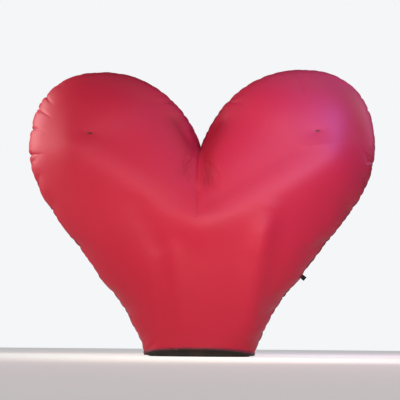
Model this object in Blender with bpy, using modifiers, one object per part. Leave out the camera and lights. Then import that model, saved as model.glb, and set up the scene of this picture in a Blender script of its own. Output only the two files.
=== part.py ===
"""Free-standing inflatable heart: a sewn fabric envelope on a flat floor panel, kept up by a fan in its back.

Metres, +Z up. The front of the heart faces -Y and its perimeter seam lies in the plane y = 0.
The origin is on the ground at the middle of the base.
"""

import math

import bmesh
import bpy
from mathutils import Matrix, Vector
from mathutils.geometry import interpolate_bezier

# Envelope
WALL = 0.010
GAP = 0.0003
MERGE = 0.0001
QUARTER_BOX = 4.0
QUARTER_BOX_Z = 1.0
SEAM_TAPE_THICK = 0.003
SEAM_TAPE_OUT = 0.006
SEAM_TAPE_IN = 0.018
NOTCH_REACH = 2.0  # how much further the tape runs where both lobes' seams meet in the notch

# Right half of the seam line, seen from the front, from the base corner up to the notch.
# Columns: x, z, heading in degrees from +X, handle before, handle after.
SEAM_KNOTS = (
    (0.470, 0.016, 88, 0.00, 0.07),
    (0.585, 0.300, 62, 0.16, 0.22),
    (1.050, 0.930, 53, 0.28, 0.30),
    (1.500, 1.800, 90, 0.36, 0.44),
    (0.870, 2.465, 180, 0.38, 0.40),
    (0.000, 1.800, 252, 0.44, 0.00),
)
KNOT_STEPS = 200
CORNER_RIBS = 4
FLANK_RIBS = 7
RIDGE_RIBS = 10
LOBE_RIBS = 16
RINGS = 9
RING_BIAS = 2.3  # above 1, rings lie closer together beside the seam
FULLNESS = 2.5  # 2 is an ellipse, more is a fuller section

# The ridge is the line where the envelope is thickest: up the middle, then out into each lobe.
HEM_LIFT = 0.044
HEM_LIFT_REACH = 0.40
CORNER_Z = 0.30  # the ribs are closer together below this height
FORK_Z = 1.12
LOBE_X = 0.87
LOBE_Z = 1.71
RIDGE_START = 0.90  # how fast the ridge rises out of the fork
FORK_ROUND = 0.15  # how far it goes straight up before it bends out
HEM_DEPTH = 0.315
FORK_DEPTH = 0.555
LOBE_DEPTH = 0.510
LOBE_FAN = (1.80, 2.20)  # seam heights, outside and inside, between which ribs meet at the lobe centre

# Floor panel
FLOOR_WALL = 0.005
FLOOR_COLLAR = 0.007
FLOOR_FLAT_SHARE = 0.90
FLOOR_RINGS = 5

# Fan in the back, on an axis along Y
FAN_Z = 0.310
DRUM_R = 0.130
DRUM_WALL = 0.005
DRUM_BACK_Y = 0.534
DRUM_INNER_Y = 0.310
CUFF_WALL = 0.004
FAN_CUT = 0.1  # how far a cutter reaches past what it cuts
CUFF_Y = (0.340, 0.495)
STRAP_WIDTH = 0.025
STRAP_THICK = 0.003
STRAP_Y = 0.477
BUCKLE_SIZE = (0.046, 0.034, 0.012)
SEAT_SINK = 0.002
IMPELLER_R = 0.118
IMPELLER_Y = (0.455, 0.497)
HUB_R = 0.042
BLADES = 7
BLADE_THICK = 0.003
BLADE_CHORD = 0.052
BLADE_PITCH = 38.0
SHAFT_R = 0.006
SHAFT_SIDES = 16
SHAFT_END_GAP = 0.002
BORE_END = 0.487
SINK = 0.005  # how far struts, shaft and blades start inside what they are fused to
MOTOR_R = 0.055
MOTOR_Y = (0.330, 0.443)
STRUTS = 3
STRUT_Y = 0.366
STRUT_WIDTH = 0.016
STRUT_DEPTH = 0.022
STRUT_CLEAR = 0.001
GUARD_Y = 0.5250
GUARD_RING_Y = 0.5222
GUARD_WIRE_R = 0.0022
GUARD_WIRE_SIDES = 5
GUARD_RING_STEPS = 24
GUARD_RINGS = (0.045, 0.070, 0.095)
GUARD_RIM_IN = 0.1190
GUARD_RIM_WIDTH = 0.008
GUARD_SPOKES = 8
GUARD_CAP_R = 0.022
GUARD_SPOKE_SINK = 0.009
SMALL_ROUND = 24  # sides of small round pieces
GUARD_TURN = Matrix.Rotation(math.radians(3), 3, "Y")  # keeps ring corners off the spokes
BOX_SIZE = (0.080, 0.034, 0.040)
BOX_INSET = 0.002
BOX_SEAT = 0.010
GLAND_R = 0.010
GLAND_END_R = 0.007
GLAND_DROP = 0.006
GLAND_LENGTH = 0.018

# Zip in the middle of the back, over the seam between the two back panels
ZIP_Z = (0.56, 1.08)
ZIP_WIDTH = 0.034
ZIP_THICK = 0.0025
SLIDER_SIZE = (0.014, 0.007, 0.022)
PULL_SIZE = (0.012, 0.0025, 0.045)
PULL_TOP = 0.007  # its top end above the slider's middle

# Tie-down loops, sewn to the seam at the flanks
LOOP_SEAM_Z = 0.690
LOOP_WIDTH = 0.038
LOOP_PLY = 0.0025
LOOP_ROOT = 0.020
LOOP_EYE_R = 0.010
LOOP_STEPS = 16
LOOP_FOLD = 75.0  # degrees that the left loop is folded back about the seam

# Stitched patches over the ties inside the lobes
PATCH_LEFT = (-0.890, 1.840)
PATCH_RIGHT = (0.995, 1.850)
PATCH_SIZE = (0.056, 0.016, 0.003)

COLOURS = {
    "envelope_front": ((0.55, 0.020, 0.045), 0.45, 0.0),
    "envelope_back": ((0.50, 0.018, 0.040), 0.45, 0.0),
    "floor": ((0.030, 0.020, 0.015), 0.60, 0.0),
    "webbing": ((0.012, 0.012, 0.014), 0.80, 0.0),
    "plastic": ((0.020, 0.020, 0.022), 0.45, 0.0),
    "motor": ((0.050, 0.050, 0.055), 0.50, 0.2),
    "steel": ((0.60, 0.60, 0.62), 0.35, 1.0),
}


def clear_scene():
    for obj in list(bpy.data.objects):
        bpy.data.objects.remove(obj)
    for name in ("inflatable_heart", "cutters"):
        made = bpy.data.collections.new(name)
        bpy.context.scene.collection.children.link(made)


def material(name):
    found = bpy.data.materials.get(name)
    if found:
        return found
    colour, roughness, metallic = COLOURS[name]
    made = bpy.data.materials.new(name)
    made.use_nodes = True
    shader = made.node_tree.nodes["Principled BSDF"]
    shader.inputs["Base Color"].default_value = (*colour, 1.0)
    shader.inputs["Roughness"].default_value = roughness
    shader.inputs["Metallic"].default_value = metallic
    return made


def new_object(name, data, colour, collection="inflatable_heart"):
    obj = bpy.data.objects.new(name, data)
    if colour:
        data.materials.append(material(colour))
    bpy.data.collections[collection].objects.link(obj)
    if collection == "cutters":
        obj.hide_render = True
        obj.display_type = "WIRE"
    return obj


def mesh_object(name, bm, colour, collection="inflatable_heart"):
    bmesh.ops.recalc_face_normals(bm, faces=bm.faces)
    mesh = bpy.data.meshes.new(name)
    bm.to_mesh(mesh)
    bm.free()
    return new_object(name, mesh, colour, collection)


def add_cylinder(bm, radius, length, matrix, segments=32, end_radius=None):
    """A cylinder along the matrix's Z, centred on it."""
    bmesh.ops.create_cone(
        bm,
        cap_ends=True,
        segments=segments,
        radius1=radius,
        radius2=radius if end_radius is None else end_radius,
        depth=length,
        matrix=matrix,
    )


def add_box(bm, size, matrix):
    bmesh.ops.create_cube(bm, size=1.0, matrix=matrix @ Matrix.Diagonal((*size, 1.0)))


def along_y(y, z=FAN_Z):
    """A frame in the middle plane, at (y, z), whose Z points along +Y."""
    return Matrix.Translation((0, y, z)) @ Matrix.Rotation(-math.pi / 2, 4, "X")


def boolean(obj, operation, other):
    step = obj.modifiers.new(operation.lower(), "BOOLEAN")
    step.operation = operation
    step.solver = "EXACT"
    step.object = other


def cut_cylinder(name, radius, y0, y1, segments=48):
    bm = bmesh.new()
    add_cylinder(bm, radius, y1 - y0, along_y((y0 + y1) / 2), segments)
    return mesh_object(name, bm, None, "cutters")


def cut_around(name, radius, y0, y1, segments=48):
    """A cutter whose flats, not its corners, stay a gap clear of a round piece of this radius."""
    return cut_cylinder(name, (radius + GAP) / math.cos(math.pi / segments), y0, y1, segments)


def seam_samples():
    """The right half of the seam in short steps, with the distance along it at each point."""
    points = []
    for (x0, z0, heading0, _, after), (x1, z1, heading1, before, _) in zip(SEAM_KNOTS, SEAM_KNOTS[1:]):
        a, b = math.radians(heading0), math.radians(heading1)
        start, end = Vector((x0, 0, z0)), Vector((x1, 0, z1))
        handle0 = start + after * Vector((math.cos(a), 0, math.sin(a)))
        handle1 = end - before * Vector((math.cos(b), 0, math.sin(b)))
        stretch = interpolate_bezier(start, handle0, handle1, end, KNOT_STEPS + 1)
        points += [p.copy() for p in stretch[:-1]]
    points.append(Vector((SEAM_KNOTS[-1][0], 0, SEAM_KNOTS[-1][1])))
    reach = [0.0]
    for p, q in zip(points, points[1:]):
        reach.append(reach[-1] + (q - p).length)
    return points, reach


def seam_at(points, reach, distance):
    i = next((k for k, r in enumerate(reach) if r >= distance), len(reach) - 1)
    if i == 0:
        return points[0].copy()
    share = (distance - reach[i - 1]) / (reach[i] - reach[i - 1])
    return points[i - 1].lerp(points[i], min(share, 1.0))


def middle_depth(z):
    """Half the envelope's thickness on its middle line, below the fork."""
    return HEM_DEPTH + (FORK_DEPTH - HEM_DEPTH) * math.sin(math.pi / 2 * min(z / FORK_Z, 1.0))


def ridge_point(step):
    """(x, z, depth, level) on the ridge from the fork, at 0, to the lobe centre, at 1."""
    share = RIDGE_START * step * (1 - step) ** 2 + step * step * (3 - 2 * step)
    out = share * share * (1 + FORK_ROUND) / (share + FORK_ROUND)
    return (
        LOBE_X * out,
        FORK_Z + (LOBE_Z - FORK_Z) * share,
        FORK_DEPTH + (LOBE_DEPTH - FORK_DEPTH) * share,
        False,
    )


def level_end(p):
    """Where a rib below the fork meets the middle line."""
    lift = HEM_LIFT * max(0.0, 1 - (p.z - SEAM_KNOTS[0][1]) / HEM_LIFT_REACH) ** 2
    return (0.0, p.z + lift, middle_depth(p.z + lift), True)


def plan_ribs():
    """Seam points from the base corner to the notch, and where each one's rib meets the ridge."""
    points, reach = seam_samples()
    top = max(range(len(points)), key=lambda i: points[i].z)
    corner = next(reach[i] for i, p in enumerate(points) if p.z > CORNER_Z)
    fork = next(reach[i] for i, p in enumerate(points) if p.z > FORK_Z)
    fan_out = next(reach[i] for i, p in enumerate(points) if p.z > LOBE_FAN[0])
    fan_in = next(reach[i] for i, p in enumerate(points) if i > top and p.z < LOBE_FAN[1])
    stretches = (
        (0.0, corner, CORNER_RIBS, None),
        (corner, fork, FLANK_RIBS, None),
        (fork, fan_out, RIDGE_RIBS, (0.0, 1.0)),
        (fan_out, fan_in, LOBE_RIBS, (1.0, 1.0)),
        (fan_in, reach[-1], RIDGE_RIBS, (1.0, 0.0)),
    )
    seam, ends = [], []
    for start, end, count, ridge in stretches:
        for k in range(count + (end == reach[-1])):
            p = seam_at(points, reach, start + (end - start) * k / count)
            seam.append(p)
            ends.append(ridge_point(ridge[0] + (ridge[1] - ridge[0]) * k / count) if ridge else level_end(p))
    return seam, ends


def ring_places():
    return [(k / RINGS) ** RING_BIAS for k in range(RINGS + 1)]


def rib_point(seam_point, end, across):
    """A point of the rib from the seam, at 0, to the ridge, at 1: a quarter of a superellipse."""
    x, z, depth, level = end
    deep = (1 - (1 - across) ** FULLNESS) ** (1 / FULLNESS)
    rise = deep * deep if level else across
    return Vector(
        (
            seam_point.x + (x - seam_point.x) * across,
            -depth * deep,
            seam_point.z + (z - seam_point.z) * rise,
        )
    )


def add_strips(bm, rows):
    """Faces between neighbouring rows of points."""
    grid = [[bm.verts.new(p) for p in row] for row in rows]
    for low, high in zip(grid, grid[1:]):
        for k in range(len(low) - 1):
            bm.faces.new((low[k], low[k + 1], high[k + 1], high[k]))
    return grid


def mirrored(name, bm):
    """The mesh of a quarter skin with its three mirrored copies, its faces turned outwards."""
    bmesh.ops.remove_doubles(bm, verts=bm.verts, dist=MERGE)
    for v in bm.verts:
        v.co.x = 0.0 if abs(v.co.x) < MERGE else v.co.x
        v.co.y = 0.0 if abs(v.co.y) < MERGE else v.co.y
    quarter = mesh_object(name, bm, None, "cutters")
    mirror = quarter.modifiers.new("mirror", "MIRROR")
    mirror.use_axis = (True, True, False)
    mirror.merge_threshold = MERGE
    graph = bpy.context.evaluated_depsgraph_get()
    whole = bpy.data.meshes.new_from_object(quarter.evaluated_get(graph))
    bm = bmesh.new()
    bm.from_mesh(whole)
    bmesh.ops.recalc_face_normals(bm, faces=bm.faces)
    lowest = min(bm.faces, key=lambda f: f.calc_center_median().z)
    if lowest.normal.z > 0:
        bmesh.ops.reverse_faces(bm, faces=bm.faces)
    bm.to_mesh(whole)
    bm.free()
    return whole


def add_wall(obj, thickness):
    """Gives an open skin its wall, inwards from its outer face."""
    wall = obj.modifiers.new("wall", "SOLIDIFY")
    wall.thickness = thickness
    wall.offset = -1.0
    wall.use_even_offset = True


def envelope_skin(seam, ends):
    """The whole envelope as one open skin, without its wall."""
    bm = bmesh.new()
    add_strips(bm, [[rib_point(p, end, a) for a in ring_places()] for p, end in zip(seam, ends)])
    return mirrored("envelope_skin", bm)


def envelope_panels(skin):
    """Four sewn panels: the skin with its wall, cut at the seam tape and at the middle line."""
    seam_clear = SEAM_TAPE_THICK / 2 + GAP
    half = QUARTER_BOX / 2
    for side, sx in (("left", -1), ("right", 1)):
        for face, sy in (("front", -1), ("back", 1)):
            bm = bmesh.new()
            add_box(
                bm,
                (QUARTER_BOX, QUARTER_BOX, QUARTER_BOX),
                Matrix.Translation((sx * (GAP / 2 + half), sy * (seam_clear + half), QUARTER_BOX_Z)),
            )
            quarter = mesh_object(f"quarter_{face}_{side}", bm, None, "cutters")
            panel = new_object(f"panel_{face}_{side}", skin.copy(), f"envelope_{face}")
            add_wall(panel, WALL)
            boolean(panel, "INTERSECT", quarter)
            if face == "back":
                boolean(panel, "DIFFERENCE", bpy.data.objects["cuff_hole"])


def seam_normals(seam):
    """Outward normal of the seam line at each point, in the plane of the seam."""
    normals = []
    for i in range(len(seam)):
        along = seam[min(i + 1, len(seam) - 1)] - seam[max(i - 1, 0)]
        normals.append(Vector((along.z, 0, -along.x)).normalized())
    return normals


def seam_tape(seam):
    """The flat tape sewn between front and back panels, from one base corner over the lobes to the other."""
    rows = [(p - n * SEAM_TAPE_IN, p + n * SEAM_TAPE_OUT) for p, n in zip(seam, seam_normals(seam))]
    notch = seam[-1]
    up = Vector((0, 0, NOTCH_REACH))
    rows[-1] = (notch - up * SEAM_TAPE_IN, notch + up * SEAM_TAPE_OUT)
    bm = bmesh.new()
    add_strips(bm, rows)
    tape = mesh_object("seam_tape", bm, "envelope_back")
    mirror = tape.modifiers.new("mirror", "MIRROR")
    mirror.use_axis = (True, False, False)
    mirror.merge_threshold = MERGE
    thick = tape.modifiers.new("thickness", "SOLIDIFY")
    thick.thickness = SEAM_TAPE_THICK
    thick.offset = 0.0


def floor_panel(seam, ends):
    """The dark floor panel: a shallow dish whose rim follows the hem and whose bottom lies on the ground."""
    hem = [rib_point(seam[0], ends[0], a) - Vector((0, 0, GAP)) for a in ring_places()]
    collar = [p - Vector((0, 0, FLOOR_COLLAR)) for p in hem]
    rows = [hem, collar]
    for k in range(1, FLOOR_RINGS + 1):
        turn = math.pi / 2 * k / FLOOR_RINGS
        shrink = 1 - (1 - FLOOR_FLAT_SHARE) * math.sin(turn)
        rows.append([Vector((p.x * shrink, p.y * shrink, p.z * math.cos(turn))) for p in collar])
    bm = bmesh.new()
    bottom = add_strips(bm, rows)[-1]
    middle = bm.verts.new((0, 0, 0))
    for a, b in zip(bottom, bottom[1:]):
        bm.faces.new((a, b, middle))
    floor = new_object("floor_panel", mirrored("floor_skin", bm), "floor")
    add_wall(floor, FLOOR_WALL)


def turn_section(bm, verts, segments):
    """Turns a closed section about the fan axis into a ring."""
    count = len(verts)
    edges = [bm.edges.new((verts[i], verts[(i + 1) % count])) for i in range(count)]
    bmesh.ops.spin(
        bm,
        geom=verts + edges,
        cent=(0, 0, 0),
        axis=(0, 1, 0),
        angle=2 * math.pi,
        steps=segments,
        use_merge=True,
    )
    bmesh.ops.translate(bm, verts=bm.verts, vec=(0, 0, FAN_Z))


def ring(name, outer_r, inner_r, y0, y1, colour, segments=48):
    """A round tube along Y, made by turning its wall's section."""
    bm = bmesh.new()
    section = [(inner_r, y0), (outer_r, y0), (outer_r, y1), (inner_r, y1)]
    turn_section(bm, [bm.verts.new((r, y, 0)) for r, y in section], segments)
    return mesh_object(name, bm, colour)


def fan():
    ring("fan_drum", DRUM_R, DRUM_R - DRUM_WALL, DRUM_INNER_Y, DRUM_BACK_Y, "plastic")
    cuff_in = DRUM_R + GAP
    cuff_out = cuff_in + CUFF_WALL
    ring("fan_cuff", cuff_out, cuff_in, *CUFF_Y, "envelope_back")
    strap_in = cuff_out + GAP
    half = STRAP_WIDTH / 2
    ring("cuff_strap", strap_in + STRAP_THICK, strap_in, STRAP_Y - half, STRAP_Y + half, "webbing")
    buckle(strap_in + STRAP_THICK)
    motor()
    impeller()
    guard()
    terminal_box()


def buckle(radius):
    """Slide buckle on top of the cuff strap, hollowed to sit on it."""
    bm = bmesh.new()
    height = FAN_Z + radius + BUCKLE_SIZE[2] / 2 - SEAT_SINK
    add_box(bm, BUCKLE_SIZE, Matrix.Translation((0, STRAP_Y, height)))
    made = mesh_object("strap_buckle", bm, "plastic")
    boolean(made, "DIFFERENCE", cut_around("buckle_seat", radius, STRAP_Y - FAN_CUT, STRAP_Y + FAN_CUT))


def motor():
    """Motor block with its shaft stub and the struts that hold it in the drum."""
    bm = bmesh.new()
    y0, y1 = MOTOR_Y
    add_cylinder(bm, MOTOR_R, y1 - y0, along_y((y0 + y1) / 2))
    made = mesh_object("fan_motor", bm, "motor")
    inner = MOTOR_R - SINK
    outer = DRUM_R - DRUM_WALL - STRUT_CLEAR
    for k in range(STRUTS):
        bm = bmesh.new()
        length = outer - inner
        where = Matrix.Translation((0, STRUT_Y, FAN_Z)) @ Matrix.Rotation(2 * math.pi * k / STRUTS, 4, "Y")
        where = where @ Matrix.Translation((0, 0, inner + length / 2))
        add_box(bm, (STRUT_WIDTH, STRUT_DEPTH, length), where)
        boolean(made, "UNION", mesh_object(f"strut_{k}", bm, None, "cutters"))
    bm = bmesh.new()
    start, end = y1 - SINK, BORE_END - SHAFT_END_GAP
    add_cylinder(bm, SHAFT_R, end - start, along_y((start + end) / 2), SHAFT_SIDES)
    boolean(made, "UNION", mesh_object("shaft", bm, None, "cutters"))


def impeller():
    """Hub with pitched blades, turning about the fan axis."""
    y0, y1 = IMPELLER_Y
    middle = (y0 + y1) / 2
    bm = bmesh.new()
    add_cylinder(bm, HUB_R, y1 - y0, along_y(middle))
    made = mesh_object("fan_impeller", bm, "plastic")
    inner = HUB_R - SINK
    for k in range(BLADES):
        bm = bmesh.new()
        length = IMPELLER_R - inner
        turn = Matrix.Rotation(2 * math.pi * k / BLADES, 4, "Y")
        pitch = Matrix.Rotation(math.radians(BLADE_PITCH), 4, "Z")
        where = Matrix.Translation((0, middle, FAN_Z)) @ turn
        where = where @ Matrix.Translation((0, 0, inner + length / 2)) @ pitch
        add_box(bm, (BLADE_CHORD, BLADE_THICK, length), where)
        boolean(made, "UNION", mesh_object(f"blade_{k}", bm, None, "cutters"))
    tip = cut_cylinder("blade_tip_trim", IMPELLER_R, y0 - FAN_CUT, y1 + FAN_CUT)
    boolean(made, "INTERSECT", tip)
    boolean(made, "DIFFERENCE", cut_around("shaft_bore", SHAFT_R, y0 - FAN_CUT, BORE_END, SHAFT_SIDES))


def guard():
    """Wire guard over the intake: rings and spokes on a rim that sits inside the drum's mouth."""
    rim_out = DRUM_R - DRUM_WALL - GAP
    half = GUARD_RIM_WIDTH / 2
    ring("intake_guard", rim_out, GUARD_RIM_IN, GUARD_Y - half, GUARD_Y + half, "steel")
    made = bpy.data.objects["intake_guard"]
    for k, radius in enumerate(GUARD_RINGS):
        bm = bmesh.new()
        corners = [2 * math.pi * j / GUARD_WIRE_SIDES for j in range(GUARD_WIRE_SIDES)]
        verts = [
            bm.verts.new((radius + GUARD_WIRE_R * math.cos(a), GUARD_RING_Y + GUARD_WIRE_R * math.sin(a), 0))
            for a in corners
        ]
        turn_section(bm, verts, GUARD_RING_STEPS)
        bmesh.ops.rotate(bm, verts=bm.verts, cent=(0, 0, FAN_Z), matrix=GUARD_TURN)
        boolean(made, "UNION", mesh_object(f"guard_ring_{k}", bm, None, "cutters"))
    inner = GUARD_CAP_R - GUARD_SPOKE_SINK
    length = (rim_out + GUARD_RIM_IN) / 2 - inner
    for k in range(GUARD_SPOKES):
        bm = bmesh.new()
        turn = Matrix.Rotation(2 * math.pi * (k + 0.5) / GUARD_SPOKES, 4, "Y")
        where = Matrix.Translation((0, GUARD_Y, FAN_Z)) @ turn
        where = where @ Matrix.Translation((0, 0, inner + length / 2))
        add_cylinder(bm, GUARD_WIRE_R, length, where, GUARD_WIRE_SIDES + 1)
        boolean(made, "UNION", mesh_object(f"guard_spoke_{k}", bm, None, "cutters"))
    bm = bmesh.new()
    add_cylinder(bm, GUARD_CAP_R, GUARD_RIM_WIDTH, along_y(GUARD_Y), SMALL_ROUND)
    boolean(made, "UNION", mesh_object("guard_cap", bm, None, "cutters"))


def terminal_box():
    """Wiring box under the drum's outer end, hollowed to the drum, with the gland for the supply cord."""
    x, y, z = BOX_SIZE
    box_y = DRUM_BACK_Y - y / 2 - BOX_INSET
    box_z = FAN_Z - DRUM_R - z / 2 + BOX_SEAT
    bm = bmesh.new()
    add_box(bm, (x, y, z), Matrix.Translation((0, box_y, box_z)))
    made = mesh_object("terminal_box", bm, "plastic")
    boolean(made, "DIFFERENCE", cut_around("box_seat", DRUM_R, box_y - FAN_CUT, box_y + FAN_CUT))
    bm = bmesh.new()
    where = along_y(box_y + y / 2 + GAP + GLAND_LENGTH / 2, box_z - GLAND_DROP)
    add_cylinder(bm, GLAND_R, GLAND_LENGTH, where, SMALL_ROUND, GLAND_END_R)
    mesh_object("cord_gland", bm, "plastic")


def depth_on(line, height):
    """Depth at a height on the panel's middle line, which is straight between ribs."""
    for (z0, depth0), (z1, depth1) in zip(line, line[1:]):
        if z0 <= height <= z1:
            return depth0 + (depth1 - depth0) * (height - z0) / (z1 - z0)
    return line[-1][1]


def zip_closure(ends):
    """Zip tape along the middle of the back, with its slider and pull near its upper end."""
    low, high = ZIP_Z
    line = [(z, depth) for _, z, depth, level in ends if level] + [(FORK_Z, FORK_DEPTH)]
    between = [(z, depth) for z, depth in line if low < z < high]
    middle = [(low, depth_on(line, low)), *between, (high, depth_on(line, high))]
    half = ZIP_WIDTH / 2
    bm = bmesh.new()
    add_strips(bm, [[Vector((x, depth + GAP, z)) for x in (half, -half)] for z, depth in middle])
    tape = new_object("zip_tape", bpy.data.meshes.new("zip_tape"), "webbing")
    bm.to_mesh(tape.data)
    bm.free()
    thick = tape.modifiers.new("thickness", "SOLIDIFY")
    thick.thickness = ZIP_THICK
    thick.offset = 1.0
    (z0, depth0), (z1, depth1) = middle[-3:-1]
    lean = Matrix.Rotation(-math.atan2(depth1 - depth0, z1 - z0), 4, "X")
    where = Matrix.Translation((0, (depth0 + depth1) / 2, (z0 + z1) / 2)) @ lean
    slider_y = 2 * GAP + ZIP_THICK + SLIDER_SIZE[1] / 2
    pull_y = slider_y + SLIDER_SIZE[1] / 2 + GAP + PULL_SIZE[1] / 2
    bm = bmesh.new()
    add_box(bm, SLIDER_SIZE, where @ Matrix.Translation((0, slider_y, 0)))
    mesh_object("zip_slider", bm, "steel")
    bm = bmesh.new()
    hang = PULL_TOP - PULL_SIZE[2] / 2
    add_box(bm, PULL_SIZE, where @ Matrix.Translation((0, pull_y, hang)))
    mesh_object("zip_pull", bm, "steel")


def loop_outline():
    """Closed outline of a tie loop seen along its width, in (out, side): flat root, then the round eye."""
    eye = LOOP_EYE_R + LOOP_PLY
    centre = LOOP_ROOT + LOOP_EYE_R
    pinch = math.asin(LOOP_PLY / eye)
    points = [(0, LOOP_PLY), (0, -LOOP_PLY)]
    for k in range(LOOP_STEPS + 1):
        a = math.pi + pinch + (2 * math.pi - 2 * pinch) * k / LOOP_STEPS
        points.append((centre + eye * math.cos(a), eye * math.sin(a)))
    return points, centre


def tie_loop(name, root, out, side, width_axis):
    """Folded webbing loop: root against the seam tape, pointing out, its eye running along width_axis."""
    points, centre = loop_outline()
    bm = bmesh.new()
    verts = [bm.verts.new(root + out * a + side * b - width_axis * LOOP_WIDTH / 2) for a, b in points]
    face = bm.faces.new(verts)
    made = bmesh.ops.extrude_face_region(bm, geom=[face])
    moved = [v for v in made["geom"] if isinstance(v, bmesh.types.BMVert)]
    bmesh.ops.translate(bm, verts=moved, vec=width_axis * LOOP_WIDTH)
    loop = mesh_object(name, bm, "webbing")
    bm = bmesh.new()
    frame = Matrix.Identity(4)
    for column, axis in enumerate((out, side, width_axis)):
        frame.col[column].xyz = axis
    frame.col[3].xyz = root + out * centre
    add_cylinder(bm, LOOP_EYE_R, LOOP_WIDTH * 2, frame, LOOP_STEPS)
    boolean(loop, "DIFFERENCE", mesh_object(name + "_eye", bm, None, "cutters"))


def tie_loops(seam):
    """The right loop stands out from the flank; the left one is folded back behind it."""
    i = next(k for k, p in enumerate(seam) if p.z > LOOP_SEAM_Z)
    low, high = seam[i - 1], seam[i]
    middle = low.lerp(high, (LOOP_SEAM_Z - low.z) / (high.z - low.z))
    along = (high - low).normalized()
    out = Vector((along.z, 0, -along.x))
    edge = middle + out * (SEAM_TAPE_OUT + GAP)
    back = Vector((0, 1, 0))
    tie_loop("tie_loop_right", edge, out, back, along)
    flip = Matrix.Diagonal((-1, 1, 1))
    folded = Matrix.Rotation(-math.radians(LOOP_FOLD), 3, flip @ along)
    root = flip @ (edge + out * LOOP_PLY)
    tie_loop("tie_loop_left", root, folded @ (flip @ out), folded @ back, flip @ along)


def tie_patches():
    """Small stitched patches on the lobes, front and back, over the ties inside."""
    width, height, thick = PATCH_SIZE
    for side, (x, z) in (("left", PATCH_LEFT), ("right", PATCH_RIGHT)):
        for face, sy in (("front", -1), ("back", 1)):
            bm = bmesh.new()
            add_box(bm, (width, thick, height), Matrix.Identity(4))
            patch = mesh_object(f"tie_patch_{face}_{side}", bm, "envelope_back")
            place_on_panel(patch, bpy.data.objects[f"panel_{face}_{side}"], x, z, sy, thick)


def place_on_panel(patch, panel, x, z, sy, thick):
    """Sets the patch flat on the panel at (x, z), a gap clear of it."""
    graph = bpy.context.evaluated_depsgraph_get()
    shape = panel.evaluated_get(graph)
    _, where, normal, _ = shape.ray_cast(Vector((x, sy * QUARTER_BOX, z)), Vector((0, -sy, 0)))
    turn = Vector((0, sy, 0)).rotation_difference(normal).to_matrix().to_4x4()
    patch.matrix_world = Matrix.Translation(where + normal * (thick / 2 + GAP)) @ turn


def build():
    clear_scene()
    cut_around("cuff_hole", DRUM_R + GAP + CUFF_WALL, CUFF_Y[0] - FAN_CUT, CUFF_Y[1] + FAN_CUT)
    seam, ends = plan_ribs()
    envelope_panels(envelope_skin(seam, ends))
    seam_tape(seam)
    floor_panel(seam, ends)
    fan()
    zip_closure(ends)
    tie_loops(seam)
    tie_patches()


build()
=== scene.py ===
import math
import random

import bmesh
import bpy
import numpy as np
from mathutils import Matrix, Vector
from mathutils.geometry import interpolate_bezier


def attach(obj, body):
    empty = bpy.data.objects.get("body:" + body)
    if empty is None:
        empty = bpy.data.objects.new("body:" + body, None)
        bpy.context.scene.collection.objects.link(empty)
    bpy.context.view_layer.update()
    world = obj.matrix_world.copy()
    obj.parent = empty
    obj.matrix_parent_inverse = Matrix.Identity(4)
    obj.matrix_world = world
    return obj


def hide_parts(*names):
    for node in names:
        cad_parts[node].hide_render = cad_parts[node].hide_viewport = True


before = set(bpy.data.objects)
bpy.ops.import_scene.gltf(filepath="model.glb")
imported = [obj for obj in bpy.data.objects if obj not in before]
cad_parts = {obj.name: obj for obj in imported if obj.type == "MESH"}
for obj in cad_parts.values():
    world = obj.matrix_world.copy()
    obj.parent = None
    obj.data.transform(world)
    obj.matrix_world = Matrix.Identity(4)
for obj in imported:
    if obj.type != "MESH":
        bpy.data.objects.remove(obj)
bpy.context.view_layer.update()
heart = "heart"

# The camera stands low on the floor, a long way back, a little to the right of the middle
view = {
    "distance": 9.5,
    "height": 0.10,
    "yaw": 4.69,       # degrees round to the right
    "roll": 0.475,
    "lookAt": (-0.004, 0.0, 1.341),
    "lens": 99.6,
    "farthest": 60.0,
}


def addObject(name, data):
    thing = bpy.data.objects.new(name, data)
    bpy.context.scene.collection.objects.link(thing)
    return thing


def facing(place, target):
    return (Vector(target) - Vector(place)).to_track_quat("-Z", "Y")


def addCamera():
    data = bpy.data.cameras.new("camera")
    data.lens, data.sensor_width, data.clip_end = view["lens"], 36.0, view["farthest"]
    eye = addObject("camera", data)
    yaw, roll = math.radians(view["yaw"]), math.radians(view["roll"])
    eye.location = Vector((math.sin(yaw), -math.cos(yaw), 0)) * view["distance"]
    eye.location.z = view["height"]
    aim = facing(eye.location, view["lookAt"]).to_matrix().to_4x4()
    eye.matrix_world = Matrix.Translation(eye.location) @ aim @ Matrix.Rotation(roll, 4, "Z")
    bpy.context.scene.camera = eye


addCamera()
print("camera placed")


# Helpers for meshes and pieces

def meshFrom(name, bm):
    mesh = bpy.data.meshes.new(name)
    bm.to_mesh(mesh)
    bm.free()
    return mesh


def newPiece(name, bm, material, replaced=(), body=heart):
    for face in bm.faces:
        face.smooth = True
    piece = addObject(name, meshFrom(name, bm))
    piece.data.materials.append(material)
    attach(piece, body)
    if replaced:
        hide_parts(*replaced)
    return piece


def hardPiece(name, bm, material, replaced, body=heart):
    bmesh.ops.recalc_face_normals(bm, faces=bm.faces)
    piece = newPiece(name, bm, material, replaced, body)
    piece.data.set_sharp_from_angle(angle=math.radians(35))
    return piece


def thicken(piece, thick, offset=0.0, bevel=0.0, segments=2):
    # gives a sheet its thickness and, where asked, soft edges
    wall = piece.modifiers.new("thickness", "SOLIDIFY")
    wall.thickness, wall.offset = thick, offset
    if bevel:
        soft = piece.modifiers.new("edges", "BEVEL")
        soft.width, soft.segments, soft.angle_limit = bevel, segments, math.radians(60)


def moved(x, y, z):
    return Matrix.Translation((x, y, z))


def vertsOf(geom):
    return [g for g in geom if isinstance(g, bmesh.types.BMVert)]


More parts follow.
